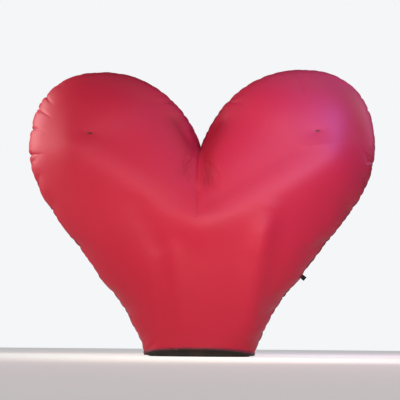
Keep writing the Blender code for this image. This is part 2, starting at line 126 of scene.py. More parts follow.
def chain(bm, points, closed=False):
    # a row of joined vertices that know their number
    order = bm.verts.layers.int.get("order") or bm.verts.layers.int.new("order")
    verts = [bm.verts.new(p) for p in points]
    for i, v in enumerate(verts):
        v[order] = i
    following = verts[1:] + verts[:1] if closed else verts[1:]
    return order, [bm.edges.new(pair) for pair in zip(verts, following)]


def grow(bm, edges, place):
    # extrudes a row of edges and puts each new vertex where place says
    grown = bmesh.ops.extrude_edge_only(bm, edges=edges)["geom"]
    for v in vertsOf(grown):
        v.co = place(v)
    return [g for g in grown if isinstance(g, bmesh.types.BMEdge)]


def sheet(bm, rows, closed=False):
    # a sheet through rows of points that all have the same count, and its first and last edges
    order, first = chain(bm, rows[0], closed)
    edges = first
    for row in rows[1:]:
        edges = grow(bm, edges, lambda v: row[v[order]])
    return first, edges


def sweep(bm, sections):
    # a sheet through closed sections, capped at both ends
    for rim in sheet(bm, sections, closed=True):
        bmesh.ops.contextual_create(bm, geom=rim)


def readPoints(mesh, name="co"):
    points = np.empty(len(mesh.vertices) * 3)
    mesh.vertices.foreach_get(name, points)
    return points.reshape(-1, 3)


def writePoints(mesh, points):
    mesh.vertices.foreach_set("co", points.ravel())
    mesh.update()


def readLayer(mesh, layer):
    values = np.empty(len(mesh.vertices))
    mesh.attributes[layer].data.foreach_get("value", values)
    return values


def edgeEnds(mesh):
    ends = np.empty(len(mesh.edges) * 2, dtype=np.int64)
    mesh.edges.foreach_get("vertices", ends)
    return ends.reshape(-1, 2).T


def gentle(share):
    # eases a share between 0 and 1 in and out
    return share * share * (3 - 2 * share)


def between(low, high, share):
    return low + (high - low) * share


# Materials

def setInputs(tree, node, values):
    # each input gets a value, or a link where the value is another node's output
    for name, value in values.items():
        if isinstance(value, bpy.types.NodeSocket):
            tree.links.new(value, node.inputs[name])
        else:
            node.inputs[name].default_value = value


def addNode(tree, kind, settings=None, **values):
    node = tree.nodes.new(kind)
    for key, value in (settings or {}).items():
        setattr(node, key, value)
    setInputs(tree, node, values)
    return node


def newMaterial(name, values):
    made = bpy.data.materials.new(name)
    made.use_nodes = True
    shader = made.node_tree.nodes["Principled BSDF"]
    setInputs(made.node_tree, shader, values)
    return made, made.node_tree, shader


def addNoise(tree, coords, scale, detail, roughness=0.5):
    return addNode(tree, "ShaderNodeTexNoise", Vector=coords, Scale=scale, Detail=detail,
                   Roughness=roughness).outputs["Fac"]


def addThreads(tree, coords, spacing, directions):
    # crossing threads as one height
    height = None
    for direction in directions:
        waves = addNode(tree, "ShaderNodeTexWave", {"bands_direction": direction}, Vector=coords,
                        Scale=math.pi / 10 / spacing).outputs["Fac"]
        if height:
            both = addNode(tree, "ShaderNodeMath", {"operation": "MULTIPLY"})
            tree.links.new(height, both.inputs[0])
            tree.links.new(waves, both.inputs[1])
            waves = both.outputs["Value"]
        height = waves
    return height


def addMix(tree, first, second, share):
    mix = addNode(tree, "ShaderNodeMix", {"data_type": "RGBA"}, A=first, B=second, Factor=share)
    return mix.outputs["Result"]


def addBump(tree, shader, height, strength, distance, before=None):
    bump = addNode(tree, "ShaderNodeBump", Strength=strength, Distance=distance, Height=height)
    if before:
        tree.links.new(before.outputs["Normal"], bump.inputs["Normal"])
    tree.links.new(bump.outputs["Normal"], shader.inputs["Normal"])
    return bump


# Each finish: scale and detail of its patches, its relief (the directions of its threads, or the scale and
# detail of its grain), the relief's strength and depth, and the shader's values
finishes = {
    "strip": ((14, 4), ("X", "Y", "Z"), (0.4, 0.0004),
              {"Roughness": 0.55, "Sheen Weight": 0.1, "Sheen Roughness": 0.4}),
    "coarse": ((6, 6), ("X", "Y", "Z"), (0.5, 0.0005), {"Roughness": 0.72}),
    "woven": ((160, 2), ("DIAGONAL", "Y"), (0.8, 0.0006), {"Roughness": 0.78, "Specular IOR Level": 0.3}),
    "thread": ((300, 2), ("DIAGONAL",), (0.5, 0.0002), {"Roughness": 0.6}),
    "plastic": ((22, 5), (900, 2), (0.25, 0.0003), {"Roughness": 0.42}),
    "metal": ((60, 6), (400, 3), (0.12, 0.0003), {"Roughness": 0.28, "Metallic": 0.95}),
}


def finish(kind, name, light, dark, spacing=0.0022, **changed):
    patches, relief, bump, values = finishes[kind]
    made, tree, shader = newMaterial(name, {**values, **changed})
    coords = addNode(tree, "ShaderNodeTexCoord").outputs["Object"]
    patch = addNoise(tree, coords, *patches, 0.55)
    spread = addNode(tree, "ShaderNodeMapRange", **{"Value": patch, "From Min": 0.35, "From Max": 0.65})
    colour = addMix(tree, (*dark, 1), (*light, 1), spread.outputs["Result"])
    tree.links.new(colour, shader.inputs["Base Color"])
    if kind in ("plastic", "metal"):
        height = addNoise(tree, coords, *relief)
    else:
        height = addThreads(tree, coords, spacing, relief)
    fine = addBump(tree, shader, height, *bump)
    if kind == "coarse":
        addBump(tree, shader, patch, 0.3, 0.004, fine)
    return made


def threadOf(name, colour):
    return finish("thread", name, colour, [part * 0.6 for part in colour], 0.0008)


# Envelope shape: the seam line, right half seen from the front, from the base corner up to the notch
seamKnots = [
    # x, z, heading in degrees, handle before, handle after
    (0.470, 0.016, 88, 0.00, 0.07),
    (0.585, 0.300, 62, 0.16, 0.22),
    (1.050, 0.930, 53, 0.28, 0.30),
    (1.500, 1.800, 90, 0.36, 0.44),
    (0.870, 2.465, 180, 0.38, 0.40),
    (0.000, 1.800, 252, 0.44, 0.00),
]
envelope = {
    "forkZ": 1.12,            # the ridge forks here into the two lobes
    "lobe": (0.87, 1.71),
    "ridgeStart": 0.90,
    "forkRound": 0.15,
    "hemDepth": 0.315,
    "forkDepth": 0.555,
    "lobeDepth": 0.510,
    "lobeFan": (1.80, 2.20),  # seam heights between which the ribs meet at the lobe's middle
    "hemLift": 0.044,
    "hemLiftReach": 0.40,
    "flankStep": 0.010,       # rib spacing along the seam
    "ridgeRibs": 150,
    "rings": 84,
    "ringBias": 2.3,
    "fullness": 2.5,
    "notchFullness": 1.75,    # the skin rises more slowly beside the notch
    "notchReach": 0.85,
    "frontDepth": 0.955,      # the front is made a little flatter, because the ridge of the V stands out on it
    "merge": 0.0002,
}


def heading(degrees):
    turn = math.radians(degrees)
    return Vector((math.cos(turn), 0, math.sin(turn)))


def seamSamples():
    points = []
    for low, high in zip(seamKnots, seamKnots[1:]):
        start, end = Vector((low[0], 0, low[1])), Vector((high[0], 0, high[1]))
        leave, arrive = start + low[4] * heading(low[2]), end - high[3] * heading(high[2])
        points += [p.copy() for p in interpolate_bezier(start, leave, arrive, end, 400)][:-1]
    points.append(end)
    reach = [0.0]
    for p, q in zip(points, points[1:]):
        reach.append(reach[-1] + (q - p).length)
    return np.array(points), np.array(reach)


def ridgeEnd(u):
    # leaves the fork upwards, bends out into the lobe and slows down to its middle
    share = envelope["ridgeStart"] * u * (1 - u) ** 2 + gentle(u)
    out = share * share * (1 + envelope["forkRound"]) / (share + envelope["forkRound"])
    lobeX, lobeZ = envelope["lobe"]
    return (lobeX * out, between(envelope["forkZ"], lobeZ, share),
            between(envelope["forkDepth"], envelope["lobeDepth"], share), False)


def levelEnd(p):
    # below the fork the ribs run level to the middle, lifted a little at the hem
    lift = envelope["hemLift"] * max(0.0, 1 - (p.z - seamKnots[0][1]) / envelope["hemLiftReach"]) ** 2
    height = p.z + lift
    share = math.sin(math.pi / 2 * min(height / envelope["forkZ"], 1.0))
    return (0.0, height, between(envelope["hemDepth"], envelope["forkDepth"], share), True)


def planRibs():
    # each rib: distance along the seam, seam point, and its end on the ridge (x, z, depth, level)
    points, reach = seamSamples()
    z = points[:, 2]
    top = int(z.argmax())
    fork = reach[int(np.argmax(z > envelope["forkZ"]))]
    fanOut = reach[int(np.argmax(z > envelope["lobeFan"][0]))]
    fanIn = reach[top + int(np.argmax(z[top:] < envelope["lobeFan"][1]))]
    step, many = envelope["flankStep"], envelope["ridgeRibs"]
    ribs = []

    def addRibs(start, length, count, endOf, last=0):
        for i in range(count + last):
            s = start + length * i / count
            p = Vector([np.interp(s, reach, points[:, axis]) for axis in range(3)])
            ribs.append((s, p, endOf(i / count, p)))

    addRibs(0.0, fork, round(fork / step), lambda share, p: levelEnd(p))
    addRibs(fork, fanOut - fork, many, lambda share, p: ridgeEnd(share))
    addRibs(fanOut, fanIn - fanOut, round((fanIn - fanOut) / step), lambda share, p: ridgeEnd(1.0))
    addRibs(fanIn, reach[-1] - fanIn, many, lambda share, p: ridgeEnd(1 - share), 1)
    return ribs, reach[-1]


def ribPoint(rib, across, side):
    # a superellipse from the seam, at 0, to the ridge, at 1
    s, p, (x, z, depth, level) = rib
    far = min((seamLength - s) / envelope["notchReach"], 1.0)
    full = between(envelope["notchFullness"], envelope["fullness"], gentle(far))
    deep = (1 - (1 - across) ** full) ** (1 / full)
    rise = deep * deep if level else across
    return Vector((between(p.x, x, across), side * depth * deep, between(p.z, z, rise)))


ribs, seamLength = planRibs()


def skin(side):
    # grows the skin ring by ring from the seam to the ridge, then mirrors it to the other half
    bm = bmesh.new()
    along = bm.verts.layers.float.new("along")
    inward = bm.verts.layers.float.new("inward")
    order, edges = chain(bm, [rib[1] for rib in ribs])
    for v in bm.verts:
        v[along] = ribs[v[order]][0]
    for k in range(1, envelope["rings"] + 1):
        across = (k / envelope["rings"]) ** envelope["ringBias"]

        def place(v):
            here = ribPoint(ribs[v[order]], across, side)
            v[inward] += (here - v.co).length
            return here

        edges = grow(bm, edges, place)
    bmesh.ops.remove_doubles(bm, verts=bm.verts, dist=envelope["merge"])
    for v in bm.verts:
        if abs(v.co.x) < envelope["merge"]:
            v.co.x = 0.0
    bmesh.ops.mirror(bm, geom=bm.verts[:] + bm.edges[:] + bm.faces[:], axis="X", merge_dist=0.0001)
    bmesh.ops.recalc_face_normals(bm, faces=bm.faces)
    widest = max(bm.faces, key=lambda f: side * f.calc_center_median().y)
    if widest.normal.y * side < 0:
        bmesh.ops.reverse_faces(bm, faces=bm.faces)
    return bm


# Puckers along the seam: each runs inward from a stitch point that pulls the cloth in
puckers = {
    "seed": 11,
    "spacing": (0.050, 0.105),
    "depth": (0.005, 0.013),
    "length": (0.18, 0.50),
    "width": (0.011, 0.024),
    "slant": 0.45,
    "spread": 0.05,       # how fast a crease widens on its way in
    "strongSpread": 0.018,
    "waver": 0.0022,      # the seam's own wander, front to back
    "waverReach": 0.07,
    "notchCalm": 0.10,    # seam length beside the notch that the fan of creases takes over
}
# Sharper creases that stand out on the front, left and right: height where they leave the outer seam,
# depth, length, width, slant
strongPuckers = {
    -1: [(2.330, 0.012, 0.40, 0.009, 0.2), (2.250, 0.020, 0.50, 0.008, 0.0), (2.205, 0.013, 0.42, 0.007, -0.1),
         (2.140, 0.024, 0.56, 0.008, 0.0), (2.095, 0.015, 0.48, 0.007, 0.1), (2.020, 0.013, 0.36, 0.008, -0.2),
         (1.952, 0.026, 0.56, 0.008, 0.0), (1.905, 0.016, 0.44, 0.007, 0.15), (1.845, 0.017, 0.40, 0.007, 0.2),
         (1.728, 0.024, 0.50, 0.008, -0.1), (1.600, 0.014, 0.40, 0.009, 0.2), (1.420, 0.012, 0.36, 0.010, 0.3)],
    1: [(2.360, 0.012, 0.34, 0.009, 0.3), (2.200, 0.016, 0.30, 0.008, 0.1), (2.120, 0.018, 0.32, 0.008, -0.2),
        (1.960, 0.015, 0.32, 0.008, 0.2), (1.620, 0.014, 0.32, 0.009, 0.2), (1.270, 0.013, 0.30, 0.009, 0.3),
        (0.500, 0.013, 0.28, 0.009, 0.2)],
}
# Folds seen on the front: x and z of both ends, height, width, sharp or round,
# and how it fades to its second end
frontFolds = [
    # centre ridge and crease below the notch
    (0.010, 1.770, 0.018, 1.340, 0.014, 0.024, False, 0.3),
    (0.014, 1.400, 0.004, 1.060, -0.011, 0.010, True, 0.7),
    # valleys that set off a strip along both inner edges of the notch
    (-0.020, 1.730, -0.235, 2.090, -0.016, 0.040, False, 0.5),
    (0.020, 1.730, 0.215, 2.090, -0.016, 0.040, False, 0.5),
    # edges of the lighter middle of the body
    (-0.540, 1.360, -0.260, 0.800, -0.010, 0.110, False, 0.0),
    (-0.300, 1.040, -0.200, 0.060, -0.012, 0.080, False, 0.0),
    (-0.190, 1.000, -0.090, 0.060, 0.014, 0.090, False, 0.0),
    (0.680, 1.300, 0.480, 0.760, 0.014, 0.100, False, 0.0),
    (0.590, 1.200, 0.380, 0.020, 0.036, 0.100, False, 0.0),
    # slanted folds in the top of the right lobe
    (0.815, 2.400, 0.910, 2.160, -0.010, 0.011, True, 0.6),
    (0.870, 2.400, 0.935, 2.220, -0.008, 0.010, True, 0.6),
    (0.955, 2.405, 0.990, 2.300, 0.008, 0.010, True, 0.6),
    # small fold in the top of the left lobe
    (-1.240, 2.370, -1.165, 2.290, -0.008, 0.011, True, 0.7),
]
# The ridge that stands out from the fork into both lobes: its points as x and z, height, width
arms = [
    (((0.200, 0.890), (0.040, 1.030), (-0.560, 1.490), (-1.300, 1.860)), 0.040, 0.190),
    (((-0.160, 0.920), (0.040, 1.030), (0.855, 1.430), (1.420, 1.740)), 0.050, 0.215),
]
# Short wrinkles beside the middle below the notch: x and z of both ends, depth
notchWrinkles = [
    (-0.025, 1.654, -0.116, 1.549, 0.013), (-0.036, 1.612, -0.102, 1.528, 0.011),
    (-0.046, 1.570, -0.109, 1.472, 0.013), (-0.032, 1.507, -0.067, 1.430, 0.009),
    (-0.067, 1.661, -0.123, 1.598, 0.009), (-0.020, 1.585, -0.070, 1.500, 0.009),
    (0.072, 1.467, 0.096, 1.321, 0.011), (0.082, 1.596, 0.122, 1.391, 0.013),
    (0.120, 1.551, 0.161, 1.350, 0.013), (0.154, 1.586, 0.218, 1.460, 0.011),
    (0.161, 1.503, 0.205, 1.350, 0.009), (0.102, 1.654, 0.138, 1.569, 0.009),
    (0.055, 1.560, 0.075, 1.440, 0.009),
]
wrinkleWidth = 0.009
# Creases that fan out from the notch: angle from straight down (left is negative), start and end radius, depth
notchFan = [
    (-48, 0.02, 0.14, 0.004), (-38, 0.03, 0.20, 0.006), (-28, 0.02, 0.16, 0.005), (-18, 0.03, 0.24, 0.006),
    (-9, 0.04, 0.20, 0.004), (8, 0.04, 0.24, 0.005), (17, 0.02, 0.28, 0.006), (26, 0.03, 0.20, 0.005),
    (36, 0.02, 0.24, 0.006), (47, 0.03, 0.16, 0.004),
]
# Painted shade: along these lines in the hollows beside the notch, where shade falls, the base colour turns a
# deeper red:
# x and z of both ends, radius, strength
paintedShadeLines = [
    (-0.195, 1.970, -0.075, 1.765, 0.060, 0.5), (-0.070, 1.720, -0.100, 1.530, 0.055, 0.35),
    (0.210, 1.930, 0.095, 1.700, 0.065, 0.55), (0.085, 1.690, 0.095, 1.440, 0.060, 0.75),
]
easing = {"rounds": 260, "strength": 0.9, "start": 0.06, "reach": 0.25}
# Where the ties inside pull the lobes in: x and z on the left and on the right
tieMarks = {"spots": {-1: (-0.890, 1.840), 1: (0.995, 1.850)}, "depth": 0.014, "reach": 0.060, "wide": 1.7}


def planPuckers():
    # one list of stitch points per half; front and back share them but not their creases' lengths and slants
    rng = random.Random(puckers["seed"])
    plan = {}
    for half in (-1, 1):
        s, rows = 0.03, []
        while s < seamLength - puckers["notchCalm"]:
            row = {"s": s, "depth": rng.uniform(*puckers["depth"]), "width": rng.uniform(*puckers["width"]),
                   "spread": puckers["spread"], "fade": (1, 1.3)}
            for side in (-1, 1):
                row[side] = (rng.uniform(*puckers["length"]) * rng.choice((0.5, 0.7, 1.0)),
                             rng.uniform(-1, 1) * puckers["slant"])
            rows.append(row)
            s += rng.uniform(*puckers["spacing"])
        for z, depth, length, width, slant in strongPuckers[half]:
            s = next(rib[0] for rib in ribs if rib[1].z >= z)
            rows.append({"s": s, "depth": depth, "width": width, "spread": puckers["strongSpread"],
                         "fade": (2, 1.5), -1: (length, slant), 1: (length * 0.4, -slant)})
        plan[half] = rows
    return plan


puckerPlan = planPuckers()


def seamPull(s, d, half, side):
    # how far the creases of one half pull the cloth in, at seam distance s and d inward
    total = np.zeros_like(s)
    for row in puckerPlan[half]:
        length, slant = row[side]
        near = np.abs(s - row["s"]) < 0.25
        gap = np.abs(s[near] - row["s"] - slant * d[near])
        bend, steep = row["fade"]
        fade = (1 - np.clip(d[near] / length, 0, 1) ** bend) ** steep
        total[near] += row["depth"] * np.exp(-gap / (row["width"] + row["spread"] * d[near])) * fade
    return total


def seamWaver(s, half):
    wave = np.sin(s * 37 + half) + 0.7 * np.sin(s * 61 + 2 * half) + 0.5 * np.sin(s * 103 + 1.3 * half)
    return puckers["waver"] * wave * np.clip((seamLength - s) / 0.2, 0, 1)


def besideLine(x, z, x0, z0, x1, z1):
    # how far along a line each point lies, as a share of it, and how far from it
    dx, dz = x1 - x0, z1 - z0
    share = np.clip(((x - x0) * dx + (z - z0) * dz) / (dx * dx + dz * dz), 0, 1)
    return share, np.hypot(x - x0 - share * dx, z - z0 - share * dz)


def lineEnds(share):
    # dies out over a fifth of the line at both ends
    return gentle(np.clip(np.minimum(share, 1 - share) * 5, 0, 1))


def foldHeight(x, z, fold):
    height, width, sharp, fade = fold[4:]
    share, away = besideLine(x, z, *fold[:4])
    profile = np.exp(-away / width) if sharp else np.exp(-((away / width) ** 2))
    return height * profile * lineEnds(share) * (1 - fade * share)


def armHeight(x, z, points, height, width):
    # a round ridge along a bent line
    best, place, before = np.full_like(x, 9.0), np.zeros_like(x), 0.0
    for start, end in zip(points, points[1:]):
        share, away = besideLine(x, z, *start, *end)
        step = math.dist(start, end)
        closer = away < best
        best[closer] = away[closer]
        place[closer] = before + share[closer] * step
        before += step
    return height * np.exp(-((best / width) ** 2)) * lineEnds(place / before)


# painted shade: how strongly each point takes the deeper red of the hollows, from the nearest line
def paintedShadeShare(x, z):
    total = np.zeros_like(x)
    for *line, radius, strength in paintedShadeLines:
        away = besideLine(x, z, *line)[1]
        total = np.maximum(total, strength * np.exp(-((away / radius) ** 2)))
    return total


def fanPull(x, z):
    total = np.zeros_like(x)
    z = z - seamKnots[-1][1]
    for k, (angle, r0, r1, depth) in enumerate(notchFan):
        a = math.radians(angle)
        ux, uz = math.sin(a), -math.cos(a)
        r = x * ux + z * uz
        bend = 0.02 * math.sin(k * 2.1) * (r / 0.5) ** 2
        t = np.abs(x * uz - z * ux + bend)
        u = np.clip((r - r0) / (r1 - r0), 0, 1)
        window = np.clip((r - r0) / 0.03, 0, 1) * (1 - u) ** 1.2
        total += depth * np.exp(-t / (0.007 + 0.012 * np.clip(r, 0, 1))) * window
    return total


def easeForm(piece):
    # rounds the fork and the ridge: depth alone is averaged between neighbours, less towards the seam
    mesh = piece.data
    count = len(mesh.vertices)
    co = readPoints(mesh)
    a, b = edgeEnds(mesh)
    pull = np.abs(co[a] - co[b]).sum(axis=1).clip(0.0005) ** -1.0
    weight = np.bincount(a, pull, count) + np.bincount(b, pull, count)
    share = easing["strength"] * np.clip((readLayer(mesh, "inward") - easing["start"]) / easing["reach"], 0, 1)
    y = co[:, 1].copy()
    for _ in range(easing["rounds"]):
        mean = (np.bincount(a, pull * y[b], count) + np.bincount(b, pull * y[a], count)) / weight
        y += share * (mean - y)
    co[:, 1] = y
    writePoints(mesh, co)


# Air pressure: a lighter copy of each skin is blown up as cloth that is a little too large for its seam,
# and only the wrinkles of the result are carried over, not its swelling
air = {
    "light": 0.14,          # share of the faces that the simulated copy keeps
    "growth": 0.030,
    "pressure": 4.0,
    "frames": 20,
    "broad": 60,            # rounds of averaging that make up the swelling
    "strength": 0.8,
    "cap": 0.022,
    "calm": (0.12, 0.50),   # distances from the seam between which the wrinkles die out
    "still": {"seam": 0.001, "hem": 0.004},
    "cloth": {"quality": 5, "mass": 0.15, "tension_stiffness": 15, "compression_stiffness": 15,
              "shear_stiffness": 5, "bending_stiffness": 0.05, "use_pressure": True},
}


def meshNow(piece):
    return bpy.data.meshes.new_from_object(piece.evaluated_get(bpy.context.evaluated_depsgraph_get()))


def wrinklesOnly(mesh, move):
    # takes the broad swelling out of the movement and caps what is left
    a, b = edgeEnds(mesh)
    count = len(mesh.vertices)
    neighbours = (np.bincount(a, minlength=count) + np.bincount(b, minlength=count))[:, None]
    broad = move.copy()
    for _ in range(air["broad"]):
        total = np.stack([np.bincount(a, broad[b, k], count) + np.bincount(b, broad[a, k], count)
                          for k in range(3)], axis=1)
        broad = (broad + total / neighbours) / 2
    near, far = air["calm"]
    share = np.clip((far - readLayer(mesh, "inward")) / (far - near), 0, 1)[:, None]
    fine = (move - broad) * air["strength"] * gentle(share)
    length = np.linalg.norm(fine, axis=1)[:, None].clip(1e-9)
    return fine / length * air["cap"] * np.tanh(length / air["cap"])


def inflate(piece):
    scene = bpy.context.scene
    light = addObject("airCopy", piece.data.copy())
    light.modifiers.new("lighter", "DECIMATE").ratio = air["light"]
    mesh = meshNow(light)
    light.modifiers.clear()
    light.data = mesh
    held = (readLayer(mesh, "inward") < air["still"]["seam"]) | (readLayer(mesh, "along") < air["still"]["hem"])
    light.vertex_groups.new(name="held").add([int(i) for i in np.nonzero(held)[0]], 1.0, "REPLACE")
    follow = piece.modifiers.new("follow", "SURFACE_DEFORM")
    follow.target = light
    with bpy.context.temp_override(object=piece, active_object=piece):
        bpy.ops.object.surfacedeform_bind(modifier="follow")
    blown = light.modifiers.new("air", "CLOTH")
    blown.collision_settings.use_collision = False
    for key, value in air["cloth"].items():
        setattr(blown.settings, key, value)
    blown.settings.uniform_pressure_force = air["pressure"]
    blown.settings.shrink_min = -air["growth"]
    blown.settings.vertex_group_mass = "held"
    blown.settings.effector_weights.gravity = 0
    for number in range(1, air["frames"] + 1):
        scene.frame_set(number)
    start = readPoints(mesh)
    after = readPoints(meshNow(light))
    light.modifiers.clear()
    writePoints(mesh, start + wrinklesOnly(mesh, after - start))
    bpy.context.view_layer.update()
    shaped = readPoints(meshNow(piece))
    held = readLayer(piece.data, "inward") < air["still"]["seam"]
    shaped[held] = readPoints(piece.data)[held]
    piece.modifiers.clear()
    writePoints(piece.data, shaped)
    bpy.data.objects.remove(light)
    scene.frame_set(1)
    print("blown up", piece.name, len(mesh.vertices))


def puckerSkin(piece, side):
    mesh = piece.data
    co, normal = readPoints(mesh), readPoints(mesh, "normal")
    s, d = readLayer(mesh, "along"), readLayer(mesh, "inward")
    x, z = co[:, 0].copy(), co[:, 2].copy()
    normal[d < 0.0001, 1] = 0.0
    normal /= np.linalg.norm(normal, axis=1)[:, None]
    push, sway, deep = np.zeros_like(s), np.zeros_like(s), np.zeros_like(s)
    for half in (-1, 1):
        mine = x * half > 0
        push[mine] -= seamPull(s[mine], d[mine], half, side)
        sway[mine] += seamWaver(s[mine], half) * np.exp(-d[mine] / puckers["waverReach"])
    push -= fanPull(x, z) * np.clip(d / 0.03, 0, 1)
    if side < 0:
        wrinkles = [(*line, -depth, wrinkleWidth, True, 0.5) for *line, depth in notchWrinkles]
        for fold in frontFolds + wrinkles:
            push += foldHeight(x, z, fold)
        for arm in arms:
            push += armHeight(x, z, *arm)
        # painted shade: the deeper red of the hollows beside the notch, kept off the seam
        deep = paintedShadeShare(x, z) * np.clip((d - 0.03) / 0.09, 0, 1)
    for markX, markZ in tieMarks["spots"].values():
        away = np.hypot((x - markX) / tieMarks["wide"], z - markZ)
        push -= tieMarks["depth"] * np.exp(-away / tieMarks["reach"])
    co += normal * push[:, None]
    if side < 0:
        co[:, 1] *= envelope["frontDepth"]
    co[:, 1] += sway
    # stores the painted shade as a point attribute that darkens the cloth's base colour
    mesh.attributes.new("paintedShade", "FLOAT", "POINT").data.foreach_set("value", deep)
    writePoints(mesh, co)


clothLook = {
    "red": (0.53, 0.013, 0.038, 1),
    "deepRed": (0.47, 0.011, 0.032, 1),
    # painted shade: the deeper red that the base colour takes in the hollows beside the notch
    "paintedShadeRed": (0.33, 0.003, 0.011, 1),
    "shine": {"Roughness": 0.50, "Specular IOR Level": 0.45, "Specular Tint": (1.0, 0.62, 0.80, 1)},
    "patches": (1.1, 3.0),
    "ripples": (9.0, 4.0),
    "threads": 0.0018,
}


def redCloth():
    made, tree, shader = newMaterial("redEnvelopeCloth", clothLook["shine"])
    coords = addNode(tree, "ShaderNodeTexCoord").outputs["Object"]
    tone = addMix(tree, clothLook["deepRed"], clothLook["red"], addNoise(tree, coords, *clothLook["patches"]))
    # painted shade: the base colour turns deeper red where the attribute marks the hollows beside the notch
    paintedShade = addNode(tree, "ShaderNodeAttribute", {"attribute_name": "paintedShade"})
    toneWithPaintedShade = addMix(tree, tone, clothLook["paintedShadeRed"], paintedShade.outputs["Fac"])
    tree.links.new(toneWithPaintedShade, shader.inputs["Base Color"])
    weave = addBump(tree, shader, addThreads(tree, coords, clothLook["threads"], ("X", "Y", "Z")), 0.15, 0.0002)
    addBump(tree, shader, addNoise(tree, coords, *clothLook["ripples"], 0.55), 0.12, 0.004, weave)
    return made


cloth = redCloth()
front = newPiece("envelopeFront", skin(-1), cloth, ("panel_front_left", "panel_front_right"))
back = newPiece("envelopeBack", skin(1), cloth, ("panel_back_left", "panel_back_right"))
for piece, side in ((front, -1), (back, 1)):
    easeForm(piece)
    inflate(piece)
    puckerSkin(piece, side)
print("envelope made", len(front.data.polygons), len(front.data.vertices))

# Seam tape, hem and floor cloth, all grown from the envelope's own edges

tape = {"reach": (-0.010, 0.0055), "notchReach": (-0.034, 0.011), "thick": 0.0026, "edge": 0.0009}
hem = {"height": 0.025, "proud": 0.0012, "thick": 0.0016}
groundCloth = {"gap": 0.0006, "collar": 0.007, "rows": 9, "shrink": 0.10, "ripple": 0.0035, "low": 0.0005}


def onEdge(piece, layer):
    # the skin's points that lie on one of its edges
    points = readPoints(piece.data)
    return [(i, Vector(points[i])) for i in np.nonzero(readLayer(piece.data, layer) < 0.0001)[0]]


def seamLoop():
    # the whole seam as it lies after puckering, from the right base corner over the notch to the left one
    s = readLayer(front.data, "along")
    rows = [(s[i], p) for i, p in onEdge(front, "inward")]
    right = sorted([r for r in rows if r[1].x > 0.0005], key=lambda r: r[0])
    left = sorted([r for r in rows if r[1].x < -0.0005], key=lambda r: -r[0])
    middle = [r for r in rows if abs(r[1].x) <= 0.0005 and r[0] > seamLength / 2][:1]
    return [p for _, p in right + middle + left]


def seamTape():
    points = seamLoop()
    last = len(points) - 1
    rows = []
    for share in (0.0, 0.35, 0.65, 0.85, 1.0):
        row = []
        for i, p in enumerate(points):
            ahead = points[min(i + 3, last)] - points[max(i - 3, 0)]
            reach = tape["notchReach"] if abs(p.x) <= 0.0005 and p.z > 1 else tape["reach"]
            outward = Vector((ahead.z, 0, -ahead.x)).normalized()
            row.append(p + outward * between(*reach, share))
        rows.append(row)
    bm = bmesh.new()
    sheet(bm, rows)
    bmesh.ops.recalc_face_normals(bm, faces=bm.faces)
    piece = newPiece("seamTape", bm, tapeCloth, ("seam_tape",))
    thicken(piece, tape["thick"], 0.0, tape["edge"])


def hemBand(piece, name):
    # the folded hem: the lowest faces of the skin, a little proud of it
    bm = bmesh.new()
    bm.from_mesh(piece.data)
    along = bm.verts.layers.float["along"]
    high = [f for f in bm.faces if max(v[along] for v in f.verts) > hem["height"]]
    bmesh.ops.delete(bm, geom=high, context="FACES")
    for v in bm.verts:
        v.co += v.normal * hem["proud"]
    bmesh.ops.subdivide_edges(bm, edges=bm.edges[:], cuts=1, use_grid_fill=True)
    thicken(newPiece(name, bm, tapeCloth), hem["thick"], 1.0)


def floorCloth():
    # from the hem's lowest edge down over a collar and in under the heart
    loop = []
    for piece, sign in ((front, 1), (back, -1)):
        points = sorted((p for _, p in onEdge(piece, "along")), key=lambda p: sign * p.x)
        loop += [p - Vector((0, 0, groundCloth["gap"])) for p in points[:-1]]
    rows = [loop]
    for k in range(groundCloth["rows"] + 1):
        turn = math.pi / 2 * k / groundCloth["rows"]
        row = []
        for p in loop:
            around = math.atan2(p.y, p.x)
            wave = math.sin(around * 17) + 0.6 * math.sin(around * 29 + 1) + 0.4 * math.sin(around * 53)
            shrink = 1 - groundCloth["shrink"] * math.sin(turn)
            shrink += groundCloth["ripple"] * wave * math.sin(2 * turn)
            height = (p.z - groundCloth["collar"]) * math.cos(turn)
            row.append(Vector((p.x * shrink, p.y * shrink, max(height, groundCloth["low"]))))
        rows.append(row)
    bm = bmesh.new()
    bmesh.ops.contextual_create(bm, geom=sheet(bm, rows, closed=True)[1])
    bmesh.ops.recalc_face_normals(bm, faces=bm.faces)
    newPiece("floorCloth", bm, darkCloth, ("floor_panel",))


tapeCloth = finish("strip", "seamTapeCloth", (0.20, 0.006, 0.030), (0.13, 0.004, 0.022))
darkCloth = finish("coarse", "darkFloorCloth", (0.030, 0.016, 0.009), (0.012, 0.007, 0.005), 0.0030)
seamTape()
hemBand(front, "hemBandFront")
hemBand(back, "hemBandBack")
floorCloth()
print("seam tape, hem and floor cloth made")

# Tie-down loops of folded webbing at the flanks

tieLoops = {
    "width": 0.038, "ply": 0.0022, "edge": 0.0006, "root": 0.022, "eye": 0.0112, "sunk": 0.003, "steps": 20,
    # the left one is folded back and pressed flat, out of sight from the front
    "openness": {"right": 1.0, "left": 0.12},
    "right": {"root": (0.8661, 0.0, 0.6860), "out": (0.781, 0.0, -0.624), "side": (0, 1, 0),
              "along": (0.624, 0.0, 0.781)},
    "left": {"root": (-0.8671, 0.0, 0.6852), "out": (-0.054, 0.998, -0.044), "side": (0.779, 0.070, 0.622),
             "along": (-0.624, 0.0, 0.781)},
    # corners of the sewn box at the root, from the skin outward and along the seam
    "box": [(0.003, -0.014), (0.003, 0.014), (0.015, 0.014), (0.015, -0.014)],
}


def stitchRow(bm, start, end, pitch, radius):
    run = end - start
    count = max(1, round(run.length / pitch))
    turn = run.to_track_quat("Z", "Y").to_matrix().to_4x4()
    for k in range(count):
        where = Matrix.Translation(start + run * (k + 0.5) / count) @ turn
        bmesh.ops.create_cone(bm, cap_ends=True, segments=6, radius1=radius, radius2=radius,
                              depth=run.length / count * 0.72, matrix=where)


